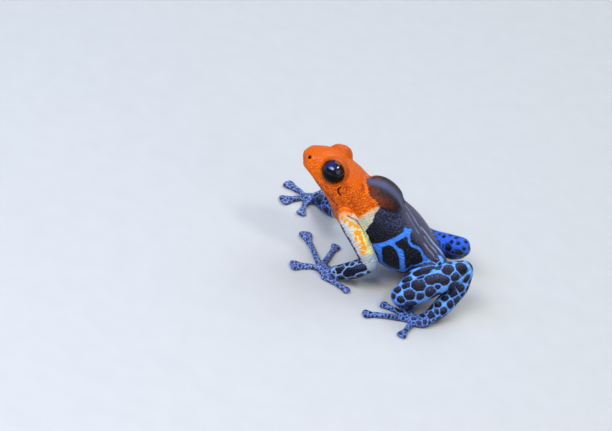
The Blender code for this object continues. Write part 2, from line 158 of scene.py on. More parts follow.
FEET = {
    "left": {
        "palm": ((8.75, -7.00, 0.85, 0.78), (7.70, -7.90, 0.55, 0.98), (6.60, -8.05, 0.44, 0.92)),
        "outer_root": (6.90, -8.50),
        "digits": ((1.75, -9.50, 0.62), (3.40, -6.90, 0.56), (4.85, -5.75, 0.46), (6.30, -5.60, 0.42),
                   (6.05, -11.10, 0.56)),
    },
    "right": {
        "palm": ((8.10, 7.10, 0.85, 0.78), (7.10, 8.00, 0.55, 0.98), (6.10, 8.15, 0.44, 0.92)),
        "outer_root": (6.40, 8.60),
        "digits": ((1.30, 9.60, 0.62), (2.80, 7.00, 0.56), (4.30, 5.85, 0.46), (5.75, 5.70, 0.42),
                   (5.55, 11.10, 0.56)),
    },
}

# Skin: sizes in millimetres
VOXEL = 0.11
SMOOTH_ROUNDS = 4
SMOOTH_IN = 0.5
SMOOTH_OUT = -0.52
BLEND_ROUNDS = 30
BODY_BLENDS = (
    # x, y, z, radius and strength
    (HUMP_CENTRE[0], 0.0, HUMP_CENTRE[2] + 1.0, 2.4, 0.9),
    (-3.6, 0.0, 10.2, 2.2, 0.9),
)
JOINT_BLENDS = (
    # length, row of it, radius and strength
    ("upper_arm", 1, 1.4, 0.5), ("thigh", 1, 1.9, 0.6), ("forearm", 0, 1.2, 0.6),
    ("tarsus", -1, 1.2, 0.6), ("shank", -1, 1.1, 0.5),
)
PALM_BLENDS = ((-1, 1.3, 0.6), (0, 1.0, 0.6))
MOUTH_DEPTH = 0.15
MOUTH_WIDTH = 0.12
LIPS = ((0.06, 0.30, 0.20), (0.03, -0.30, 0.18))
NOSTRIL_RIM = (0.06, 0.36, 0.12)
NOSTRIL_HOLE = (0.22, 0.19)
EAR_DEPTHS = (0.03, 0.08)
EAR_WIDTH = 0.10
LID_CREASE = (0.07, 0.40, 0.10)
ROUGH_WAVES = ((2.6, 1.0), (4.4, 0.7), (7.0, 0.45))
WAVES_EACH = 7
ROUGH_HEIGHT = 0.035
ROUGH_SEED = 3
FAR_OFF = 9.0
BODY_SIDES = 72
BODY_STEPS = 6
LIMB_STEPS = 6
LIMB_SIDES = 32
DIGIT_SIDES = 18
DISC_SIDES = 24
DISC_STEPS = 4
HEAD_ENDS_X = -3.0
FACE_ENDS_X = -4.5

# Camera: where it stands, and the pixel of the 612 x 431 picture that shows the top of the vent
PICTURE = (612, 431)
CAMERA_RISE = math.radians(34)
CAMERA_ROLL = math.radians(18)
CAMERA_DISTANCE = 250.0
PIXELS_PER_MM = 8.7
ANCHOR = (8.6, 0.0, 4.1)
ANCHOR_PIXEL = (446, 260)
SENSOR_MM = 36.0

# Markings that show in the picture, and the painted highlight streaks of the back, each by its pixel, with
# radii in pixels
SHANK_CELLS = (
    # chains of (x, y, radius): a long cell has two or three
    ((418.2, 284.6, 6.2),),
    ((429.5, 279.6, 4.4), (437.0, 279.0, 4.8), (445.0, 280.6, 3.6)),
    ((447.9, 269.4, 5.0),),
    ((462.0, 268.0, 5.8),),
    ((416.5, 273.6, 2.6), (424.5, 270.8, 3.2), (433.0, 268.2, 3.0), (439.0, 267.6, 2.4)),
    ((407.0, 279.8, 4.0),),
    ((409.6, 294.6, 4.8),),
    ((420.2, 296.3, 3.2),),
    ((430.6, 292.0, 4.6),),
    ((437.6, 286.0, 2.3),),
    ((397.2, 289.4, 3.2),),
    ((392.9, 296.0, 2.3),),
    ((400.8, 299.6, 2.8),),
    ((455.4, 277.0, 3.8),),
    ((406.0, 269.4, 1.4), (414.0, 267.2, 1.8), (423.0, 265.2, 1.8), (433.0, 263.9, 1.4)),
    ((440.0, 264.0, 1.3), (450.0, 262.8, 1.3)),
)
TARSUS_CELLS = (
    ((453.0, 292.8, 3.8),),
    ((445.0, 297.9, 2.9),),
    ((460.4, 288.4, 3.2),),
    ((466.5, 278.5, 3.4),),
    ((450.8, 304.2, 3.3),),
    ((437.6, 304.5, 2.7),),
    ((443.5, 311.2, 3.0),),
    ((436.4, 311.8, 2.0),),
    ((431.0, 314.8, 3.4),),
    ((422.2, 315.5, 2.8),),
    ((425.2, 321.6, 2.4),),
    ((413.4, 318.6, 2.2),),
    ((419.0, 322.8, 2.0),),
    ((403.0, 318.4, 1.6),),
    ((393.0, 317.2, 1.3),),
    ((385.6, 315.2, 1.2),),
)
FOREARM_CELLS = (
    ((347.0, 273.2, 3.4), (353.0, 271.0, 3.6), (359.0, 268.4, 3.6), (364.5, 266.0, 3.4),
     (368.4, 264.0, 2.8)),
    ((355.8, 258.8, 1.4), (353.4, 260.0, 1.2)),
    ((347.3, 263.5, 2.6),),
    ((342.6, 267.6, 2.2), (337.6, 270.4, 3.0)),
    ((341.0, 278.0, 2.8),),
    ((331.3, 277.2, 2.7),),
    ((334.6, 272.0, 1.4),),
    ((325.8, 276.8, 1.9),),
    ((318.6, 197.6, 4.6), (319.6, 201.0, 3.8)),
    ((326.7, 211.0, 3.0), (324.0, 208.0, 2.2)),
)
FLANK_LINES = (
    # (width in pixels, points)
    (4.8, ((371.5, 246.0), (377.0, 246.0), (385.6, 243.8), (395.8, 239.4), (404.6, 234.2),
           (408.2, 231.6))),
    (3.0, ((407.4, 232.5), (408.8, 237.5), (409.4, 242.2), (412.4, 246.0), (417.4, 247.4), (421.0, 250.8),
           (423.2, 256.0), (425.0, 262.4))),
    (3.2, ((391.5, 243.5), (396.6, 248.2), (400.2, 251.8))),
    (5.4, ((400.4, 252.5), (402.0, 258.0), (402.2, 264.0), (402.8, 270.0))),
    (4.2, ((375.5, 247.0), (378.6, 250.5), (380.2, 256.0), (381.4, 261.5), (385.6, 266.8), (392.4, 268.8),
           (401.0, 270.8))),
    (7.0, ((374.0, 247.4), (378.4, 249.4))),
    (2.6, ((405.0, 228.6), (407.8, 231.8), (411.0, 230.0))),
    (1.8, ((403.0, 271.4), (411.0, 266.0), (424.0, 262.8), (437.0, 261.8), (448.0, 260.4))),
    (2.6, ((391.0, 269.0), (388.5, 274.0), (392.0, 279.0))),
    (2.6, ((379.6, 256.0), (374.4, 259.4))),
    (2.2, ((424.6, 257.0), (428.6, 260.0), (434.0, 261.6))),
    (1.6, ((437.0, 247.2), (441.2, 252.0), (444.8, 256.6), (446.8, 260.8))),
)
ARM_BLOTCHES = (
    # x, y, radius
    (342.0, 217.8, 2.2), (345.6, 220.4, 2.4), (350.4, 223.5, 3.0), (354.6, 226.6, 2.0), (358.0, 227.6, 2.2),
    (357.3, 232.7, 3.4), (356.0, 239.4, 2.0), (360.4, 238.0, 2.8), (362.0, 242.2, 2.2), (359.6, 245.8, 0.9),
    (363.5, 248.0, 3.2), (362.8, 252.2, 2.2), (365.0, 255.2, 1.2), (370.6, 255.0, 0.8),
)
# Painted highlights: pale streaks along the wet back
BACK_HIGHLIGHT_STREAKS = (
    # (half width in pixels, less than none for a faint highlight streak, points)
    (1.2, ((428.0, 236.0), (431.6, 240.8), (435.4, 245.4), (440.2, 250.4), (444.8, 256.6))),
    (0.5, ((421.6, 227.6), (425.0, 232.0), (428.0, 236.0))),
    (0.4, ((424.6, 237.0), (429.6, 244.4), (435.4, 250.6), (440.6, 257.2))),
    (0.1, ((424.0, 243.6), (428.6, 249.6), (433.0, 254.6), (437.6, 259.4))),
    (0.1, ((405.0, 204.6), (411.0, 213.4), (416.4, 222.6), (421.6, 230.0))),
    (-0.3, ((406.6, 213.0), (410.4, 219.6), (414.4, 226.6), (419.0, 234.0))),
)
# Outlines of the brown hump and of the slate back
HUMP_OUTLINE = ((360, 160), (402, 164), (414, 197), (404.0, 206), (398.0, 212.0), (390.8, 211.0),
                (384.0, 208.2), (378.0, 204.6), (370.6, 198.6), (364, 190))
SLATE_OUTLINE = ((396, 150), (399, 204), (404.2, 219.4), (410, 230.9), (415.1, 238.6), (421.5, 246.3),
                 (425.4, 255.3), (429.2, 262.2), (452, 262.6), (480, 262), (480, 150))
# Folds at the heel, between arm and chest, and under the hump, sunk into the skin and darkened with painted
# shade
CREASES = (
    # depth and width in millimetres, whether on both sides, points
    (0.10, 0.13, False, ((450.4, 285.6), (455.6, 281.6), (460.4, 278.0), (465.7, 273.6), (469.4, 269.8))),
    (0.14, 0.16, False, ((347.5, 215.6), (351.0, 217.3), (357.3, 220.4), (360.4, 225.0), (364.2, 231.2),
                         (366.6, 236.4))),
    (0.16, 0.26, True, ((379.0, 205.2), (384.0, 208.8), (390.6, 211.6), (397.6, 212.8), (402.6, 208.0))),
)
# The upper flank's painted sheen, a highlight on its grains, ends along a sloping line of the picture,
# given by pixels
PAINTED_SHEEN_SLOPE = 0.5
PAINTED_SHEEN_TOP = 390.0
PAINTED_SHEEN_ROWS = (212.0, 238.0)
# Outlines of the orange head, and of the cream chest under it, on the near side, and where the
# colours of an arm end, as shares of its length and width
ORANGE_OUTLINE = ((200, 60), (366, 60), (366, 172), (366.5, 183), (369.5, 194), (376, 203), (381, 205.6),
                  (368, 210.4), (358, 216.5), (347, 220), (336, 222), (322, 232), (200, 260))
CREAM_OUTLINE = ((200, 190), (376, 203), (381.6, 206), (374.6, 213.4), (372.4, 221.4), (365, 231.4),
                 (360, 236), (350, 243), (335, 262), (200, 300))
ARM_ORANGE_ENDS = 0.16
ARM_CREAM_ENDS = 0.80
ELBOW_CREAM_ENDS = 0.02
ARM_LENGTH = 4.0
# The way to the front edge of an arm, as shares of the camera's right and up
ARM_FRONT_WAY = (-0.83, -0.55)
OUTSIDE = -3.0
EDGE_WAVES = ((0.10, (5.1, 3.7, -4.3)), (0.06, (-9.7, 8.3, 7.9)))
FAR_ARM_CREAM_ENDS = 0.5
FAR_ARM_BLOTCHES = 22
FAR_ARM_BLOTCH_RADII = (0.1, 0.34)

# Painted shade along the folds: field, where the shade starts and is full, how dark
FOLD_SHADE_LINES = (
    ("mouth", 0.14, 0.03, 0.85), ("crease", 1.0, 0.15, 0.8), ("ear", 0.17, 0.06, 0.95),
    ("nostril", 0.27, 0.17, 1.0),
)
# Textures: sizes and heights in millimetres
WRINKLE_WAY = (0.69, -0.41, -0.60)
WRINKLE_SIZE = 0.30
GRAIN_SIZE = 0.24
SMALL_GRAIN_SIZE = 0.13
FINE_SIZE = 0.09
CLOUD_SIZE = 0.9
GRAIN_HEIGHT = 0.11
FINE_HEIGHT = 0.008

MARKS_SEED = 11
BELLY_TOP = -0.45
# Scattered cells: lengths of the body, least and greatest radius and gap in millimetres, tries
SCATTER = (
    (("thigh_right", "shank_right", "tarsus_right"), 0.04, 0.12, 0.56, 1500),
    (("thigh", "shank"), 0.30, 0.72, 0.17, 1500),
    (("tarsus",), 0.16, 0.42, 0.13, 900),
    (("forearm",), 0.16, 0.40, 0.12, 900),
    (("belly",), 0.35, 0.95, 0.18, 900),
    (("hand", "foot"), 0.06, 0.18, 0.08, 6000),
)
CELL_APART = 0.07
CELL_GROWS = 0.16
WEBBING = 7.0
CELL_SHADES = (0.35, 1.8)
EASE = 0.6
EASE_ROUNDS = 3
MOTTLE_ROUNDS = 6

# Colours, in steps of 0 to 255
ORANGE = (248, 112, 0)
ORANGE_DEEP = (206, 76, 0)
# Painted shade on the top of the head
ORANGE_CROWN_SHADE = (200, 84, 0)
# Painted highlight on the tops of the orange skin's grains
ORANGE_GRAIN_HIGHLIGHT = (255, 150, 18)
ORANGE_SHADE = (124, 38, 2)
RUST = (108, 42, 8)
CREAM = (214, 208, 180)
CREAM_SHADE = (170, 176, 170)
CREAM_LINES = (96, 96, 92)
ARM_FRONT = (206, 200, 200)
ARM_YELLOW = (238, 228, 140)
ELBOW_BLUE = (138, 160, 188)
BLOTCH = (240, 146, 22)
# Painted shade in the mouth line, the creases, the ear's ring and the nostrils
FOLD_SHADE = (22, 10, 8)
FLANK_BLACK = (10, 10, 15)
BACK_SLATE = (72, 72, 92)
HUMP_BROWN = (34, 22, 24)
# Painted highlight along the top of the hump, near the back's middle line
HUMP_PAINTED_SHEEN = (78, 82, 112)
# Painted highlight on the grain tops of the upper flank and on the upper side of each limb cell
CELL_PAINTED_SHEEN = (112, 124, 172)
# Painted highlight of the back's streaks
STREAK_HIGHLIGHT = (176, 192, 232)
# Dark mottling of the hands and feet, the painted highlight on their grain tops, and how much of both they
# take
MOTTLE_DARK = (60, 74, 140)
MOTTLE_HIGHLIGHT = (190, 212, 238)
HAND_MOTTLE_AND_GLINT = 0.75
FOOT_MOTTLE_AND_GLINT = 0.45
# Deep blue laid on the lines in places, and also the colour of the painted shade on the limbs' undersides
LINE_DEEP = (34, 62, 150)
# How much painted shade the limbs' undersides take
UNDERSIDE_SHADE_SHARE = 0.65
FLANK_BLUE = (70, 140, 244)
LEG_BLUE = (112, 176, 255)
LEG_DARK = (26, 22, 32)
LIMB_COLOURS = (
    (("thigh", "shank", "tarsus"), LEG_BLUE, LEG_DARK),
    (("thigh_right", "shank_right", "tarsus_right"), (46, 106, 224), (12, 12, 22)),
    (("upper_arm",), (70, 96, 140), (18, 18, 26)),
    (("forearm",), (158, 196, 222), (14, 16, 38)),
    (("forearm_right",), (96, 134, 206), (14, 16, 32)),
    (("hand",), (150, 182, 234), (52, 58, 100)),
    (("foot",), (116, 164, 236), (28, 32, 60)),
)

# Eyes, floor, light and world
CORNEA_RISE = 0.05
EYE_RINGS = 49
EYE_SIDES = 96
IRIS_DARK = (16, 11, 9)
IRIS_BROWN = (38, 24, 16)
PUPIL = (3, 3, 4)
EYE_EDGE = (8, 6, 6)
# Painted reflection on the eye's upper front, and the way it faces
EYE_PAINTED_REFLECTION = (26, 38, 100)
EYE_REFLECTION_WAY = (-0.37, 0.66, 0.65)
FLOOR_REACH = 2.0
FLOOR_TONES = ((0.54, 0.54, 0.53), (0.50, 0.50, 0.49))
FLOOR_MOTTLE_SIZE = 2.5
LIGHT_TARGET = (0, 0, 0.006)
LIGHTS = (
    # name, place and width in metres, power in watts, colour
    ("key", (-0.10, -0.16, 0.22), 0.14, 0.62, (1.0, 0.98, 0.94)),
    ("glint", (0.10, -0.05, 0.25), 0.05, 0.16, (1.0, 1.0, 1.0)),
    ("window", (-0.18, -0.10, 0.18), 0.12, 0.34, (0.30, 0.50, 1.0)),
    ("fill", (0.22, -0.18, 0.14), 0.20, 0.14, (0.95, 0.97, 1.0)),
    ("sky", (0.04, 0.16, 0.22), 0.20, 0.44, (0.80, 0.90, 1.0)),
)
WORLD_COLOUR = (0.80, 0.84, 0.90)
WORLD_STRENGTH = 0.26


def srgb(red, green, blue):
    """A colour given in 0 to 255 steps, as the shader reads it."""
    return np.array([(c / 255 / 12.92) if c / 255 <= 0.04045 else ((c / 255 + 0.055) / 1.055) ** 2.4
                     for c in (red, green, blue)])


def unit(vector):
    """A vector, or rows of vectors, of length one."""
    vector = np.asarray(vector, float)
    return vector / np.maximum(np.linalg.norm(vector, axis=-1, keepdims=True), 1e-9)


def smooth_step(values, low, high):
    """0 below low, 1 above high, and a smooth rise between."""
    t = np.clip((values - low) / (high - low), 0, 1)
    return t * t * (3 - 2 * t)


def ridge(gap, middle, width):
    """1 where a gap has its middle value, falling to 0 on both sides."""
    return np.exp(-((gap - middle) / width) ** 2)


def smooth_rows(keys, steps):
    """Rows read from a Catmull-Rom curve that passes through the rows of keys."""
    keys = np.asarray(keys, float)
    rows = np.vstack([2 * keys[0] - keys[1], keys, 2 * keys[-1] - keys[-2]])
    t = (np.arange(steps) / steps)[:, None]
    found = [0.5 * (2 * b + (c - a) * t + (2 * a - 5 * b + 4 * c - d) * t ** 2
                    + (3 * b - a - 3 * c + d) * t ** 3)
             for a, b, c, d in zip(rows, rows[1:], rows[2:], rows[3:])]
    return np.vstack([*found, keys[-1:]])


def directions(points):
    """The unit direction of a path at each of its points."""
    steps = np.vstack([points[1] - points[0], points[2:] - points[:-2], points[-1] - points[-2]])
    return unit(steps)


class Forms:
    """Closed forms gathered into one mesh, ready to be fused."""

    def __init__(self):
        self.points = []
        self.faces = []
        self.count = 0

    def loft(self, rings):
        """A closed form through rings of equally many points."""
        sides = len(rings[0])
        start = self.count
        for i in range(len(rings) - 1):
            for j in range(sides):
                k = (j + 1) % sides
                near = start + i * sides
                self.faces.append((near + j, near + k, near + sides + k, near + sides + j))
        self.faces.append([start + j for j in range(sides)][::-1])
        self.faces.append([start + (len(rings) - 1) * sides + j for j in range(sides)])
        self.points += [p for ring in rings for p in ring]
        self.count += len(rings) * sides

    def mesh(self, name):
        """The mesh of all forms."""
        made = bpy.data.meshes.new(name)
        made.from_pydata([tuple(p) for p in self.points], [], self.faces)
        return made


def section(centre, across, up, half_width, rise, drop, squareness, sides):
    """A closed ring of points, rounder or squarer, in the plane of across and up."""
    angle = np.arange(sides) * 2 * math.pi / sides
    c, s = np.cos(angle), np.sin(angle)
    wide = np.sign(c) * np.abs(c) ** (2 / squareness) * half_width
    high = np.sign(s) * np.abs(s) ** (2 / squareness) * np.where(s > 0, rise, drop)
    return centre + np.outer(wide, across) + np.outer(high, up)


def lean_at(x):
    """How far the body leans over to its right at a station."""
    return HEAD_LEAN * np.clip((LEAN_STARTS_X - x) / (LEAN_STARTS_X - LEAN_FULL_X), 0, 1)


def body_rings():
    """The body's rows with the centre, across and up of each."""
    rows = smooth_rows(BODY_STATIONS, BODY_STEPS)
    points = np.stack([rows[:, 0], 0 * rows[:, 0], rows[:, 1]], 1)
    along = directions(points)
    lean = lean_at(rows[:, 0])[:, None]
    level = np.array([0.0, 1.0, 0.0])
    rise = unit(np.cross(along, level))
    across = level * np.cos(lean) - rise * np.sin(lean)
    up = rise * np.cos(lean) + level * np.sin(lean)
    return rows, points, across, up


def add_body(forms):
    """Head and trunk."""
    rows, points, across, up = body_rings()
    forms.loft([section(p, a, u, *row[2:], BODY_SIDES) for row, p, a, u in zip(rows, points, across, up)])


def limb_rows(keys):
    """A limb's smooth middle line and radii."""
    rows = smooth_rows(keys, LIMB_STEPS)
    return rows[:, :3], rows[:, 3]


def add_limb(forms, keys, flatten=1.0, sides=LIMB_SIDES):
    """A tapered length of limb with rounded ends."""
    points, radii = limb_rows(keys)
    along = directions(points)
    across = unit(np.cross(along, (0, 0, 1)))
    up = np.cross(across, along)

    def ring(i, shift, scale):
        radius = radii[i] * scale
        centre = points[i] + along[i] * shift * radii[i] * min(flatten, 1.0)
        return section(centre, across[i], up[i], radius, radius * flatten, radius * flatten, 2.0, sides)

    ends = [(math.sin(a), math.cos(a)) for a in np.radians((82, 68, 54, 40, 26, 13))]
    rings = [ring(0, -shift, scale) for shift, scale in ends]
    rings += [ring(i, 0.0, 1.0) for i in range(len(points))]
    rings += [ring(len(points) - 1, shift, scale) for shift, scale in reversed(ends)]
    forms.loft(rings)


def add_ball(forms, centre, radii, axes=np.eye(3), cut=None, around=40, rings=24):
    """An ellipsoid on the rows of axes. cut flattens it beyond that height on its third axis."""
    made = []
    for tilt in np.radians(np.linspace(-88, 88, rings)):
        turn = np.arange(around) * 2 * math.pi / around
        height = radii[2] * math.sin(tilt)
        if cut is not None:
            height = min(height, cut)
        across = radii[0] * math.cos(tilt) * np.cos(turn)
        deep = radii[1] * math.cos(tilt) * np.sin(turn)
        local = np.stack([across, deep, np.full(around, height)], 1)
        made.append(np.asarray(centre, float) + local @ axes)
    forms.loft(made)


def beside(side, point):
    """A point given for the right side, on the named side of the leaning head."""
    x, y, z = point
    y *= SIDES[side]
    return np.array([x, y, z - y * math.sin(HEAD_LEAN)])


def eye_centre(side):
    """The middle of an eyeball."""
    return beside(side, (EYE_X, EYE_SPREAD, EYE_Z))


def look(side):
    """The direction in which an eye looks."""
    x, y, z = EYE_LOOK
    return unit((x, y * SIDES[side], z))


def frame_about(axis):
    """Three unit axes, the third along the given one."""
    first = unit(np.cross(axis, (0.1, 0.2, 1.0)))
    return np.stack([first, np.cross(axis, first), axis])


def add_hand_or_foot(forms, plan):
    """A palm or sole with its digits and their discs."""
    add_limb(forms, plan["palm"], PALM_HALF_HEIGHT / plan["palm"][1][3])
    end = np.array([*plan["palm"][-1][:2], DIGIT_Z])
    for i, (x, y, disc_radius) in enumerate(plan["digits"]):
        tip = np.array([x, y, DIGIT_Z])
        root = end + unit(tip - end) * DIGIT_ROOT_SHIFT
        if i == len(plan["digits"]) - 1:
            root = np.array([*plan["outer_root"], DIGIT_Z])
        middle = (root + tip) / 2 + np.array([0, 0, DIGIT_ARCH])
        rows = [(*root, DIGIT_RADIUS * 1.15), (*middle, DIGIT_RADIUS * 0.95), (*tip, DIGIT_RADIUS)]
        add_limb(forms, rows, 0.9, DIGIT_SIDES)
        along = unit(tip - root)
        across = np.cross((0, 0, 1), along)
        rings = []
        for out, wide, height in smooth_rows(DISC_ROWS, DISC_STEPS):
            centre = tip + along * out * disc_radius
            rings.append(section(centre, across, np.array([0, 0, 1.0]), wide * disc_radius, height, height,
                                 DISC_SQUARENESS, DISC_SIDES))
        forms.loft(rings)


def all_forms():
    """Every length of the frog as overlapping closed forms."""
    forms = Forms()
    add_body(forms)
    pitch = np.array(Matrix.Rotation(HUMP_PITCH, 3, "Y")).T
    for side, sign in SIDES.items():
        x, y, z = HUMP_CENTRE
        add_ball(forms, (x, y * sign, z), HUMP_RADII, pitch)
        add_ball(forms, eye_centre(side), (LID_RADIUS,) * 3, frame_about(look(side)), LID_OPENING_OFFSET)
        for keys in LIMBS[side].values():
            add_limb(forms, keys)
        add_hand_or_foot(forms, HANDS[side])
        add_hand_or_foot(forms, FEET[side])
    return forms


def fused(forms):
    """One closed skin round all forms: its points and its faces of four corners."""
    thing = bpy.data.objects.new("forms", forms.mesh("forms"))
    bpy.context.scene.collection.objects.link(thing)
    step = thing.modifiers.new("fuse", "REMESH")
    step.mode = "VOXEL"
    step.voxel_size = VOXEL
    mesh = thing.evaluated_get(bpy.context.evaluated_depsgraph_get()).to_mesh()
    points = np.empty(len(mesh.vertices) * 3)
    mesh.vertices.foreach_get("co", points)
    corners = np.empty(len(mesh.loops), dtype=np.int64)
    mesh.loops.foreach_get("vertex_index", corners)
    edges = np.empty(len(mesh.edges) * 2, dtype=np.int64)
    mesh.edges.foreach_get("vertices", edges)
    bpy.data.objects.remove(thing, do_unlink=True)
    return points.reshape(-1, 3), corners.reshape(-1, 4), edges.reshape(-1, 2)


def relaxed(points, edges, amount, rounds):
    """Points moved towards the middle of their neighbours, each by its own amount."""
    a, b = edges.T
    n = len(points)
    count = np.maximum(np.bincount(a, minlength=n) + np.bincount(b, minlength=n), 1)
    for _ in range(rounds):
        total = np.stack([np.bincount(a, points[b, k], n) + np.bincount(b, points[a, k], n)
                          for k in range(points.shape[1])], 1)
        points = points + np.asarray(amount)[..., None] * (total / count[:, None] - points)
    return points


def normals_of(points, faces):
    """Outward unit normals at the points."""
    a, b, c, d = (points[faces[:, k]] for k in range(4))
    flat = np.cross(c - a, d - b)
    total = np.zeros_like(points)
    for k in range(4):
        for axis in range(3):
            total[:, axis] += np.bincount(faces[:, k], flat[:, axis], len(points))
    return unit(total)


def tube_gap(points, path, radii):
    """How far points lie outside a tapered tube, and how far along it, from 0 to 1."""
    gap = np.full(len(points), np.inf)
    along = np.zeros(len(points))
    for i in range(len(path) - 1):
        step = path[i + 1] - path[i]
        t = np.clip((points - path[i]) @ step / (step @ step), 0, 1)
        near = path[i] + t[:, None] * step
        here = np.linalg.norm(points - near, axis=1) - (radii[i] * (1 - t) + radii[i + 1] * t)
        closer = here < gap
        gap[closer] = here[closer]
        along[closer] = (i + t[closer]) / (len(path) - 1)
    return gap, along


def body_place(points):
    """Where points lie on the trunk: station x, sideways and upward share, and the gap to its surface."""
    rows, centres, across, up = body_rings()
    best = np.full(len(points), np.inf)
    nearest = np.zeros(len(points), dtype=np.int64)
    for i, centre in enumerate(centres):
        here = np.linalg.norm((points - centre) * (1, 0.35, 1), axis=1)
        closer = here < best
        best[closer] = here[closer]
        nearest[closer] = i
    offset = points - centres[nearest]
    wide = np.einsum("ij,ij->i", offset, across[nearest]) / rows[nearest, 2]
    high = np.einsum("ij,ij->i", offset, up[nearest])
    high = high / np.where(high > 0, rows[nearest, 3], rows[nearest, 4])
    gap = (np.hypot(wide, high) - 1) * rows[nearest, 2]
    for side, sign in SIDES.items():
        x, y, z = HUMP_CENTRE
        hump = (np.linalg.norm((points - (x, y * sign, z)) / HUMP_RADII, axis=1) - 1) * HUMP_RADII[2]
        lid = np.linalg.norm(points - eye_centre(side), axis=1) - LID_RADIUS
        gap = np.minimum(gap, np.minimum(hump, lid))
    return rows[nearest, 0], wide, high, gap


class Camera:
    """The picture's camera in the model's millimetres."""

    def __init__(self):
        level = np.array([1.0, 0, 0])
        self.back = np.array([0, -math.cos(CAMERA_RISE), math.sin(CAMERA_RISE)])
        upright = np.cross(self.back, level)
        self.right = level * math.cos(CAMERA_ROLL) + upright * math.sin(CAMERA_ROLL)
        self.up = -level * math.sin(CAMERA_ROLL) + upright * math.cos(CAMERA_ROLL)
        self.focal = PIXELS_PER_MM * CAMERA_DISTANCE
        aside = (ANCHOR_PIXEL[0] - PICTURE[0] / 2) / PIXELS_PER_MM
        above = (PICTURE[1] / 2 - ANCHOR_PIXEL[1]) / PIXELS_PER_MM
        self.eye = (np.array(ANCHOR) + self.back * CAMERA_DISTANCE - self.right * aside - self.up * above)

    def pixels(self, points):
        """Where points appear in the picture."""
        offset = points - self.eye
        depth = -offset @ self.back
        aside = offset @ self.right * self.focal / depth + PICTURE[0] / 2
        down = PICTURE[1] / 2 - offset @ self.up * self.focal / depth
        return np.stack([aside, down], 1)

    def ray(self, x, y):
        """The direction in which a pixel of the picture looks."""
        aside = self.right * (x - PICTURE[0] / 2)
        above = self.up * (PICTURE[1] / 2 - y)
        return unit((aside + above) / self.focal - self.back)


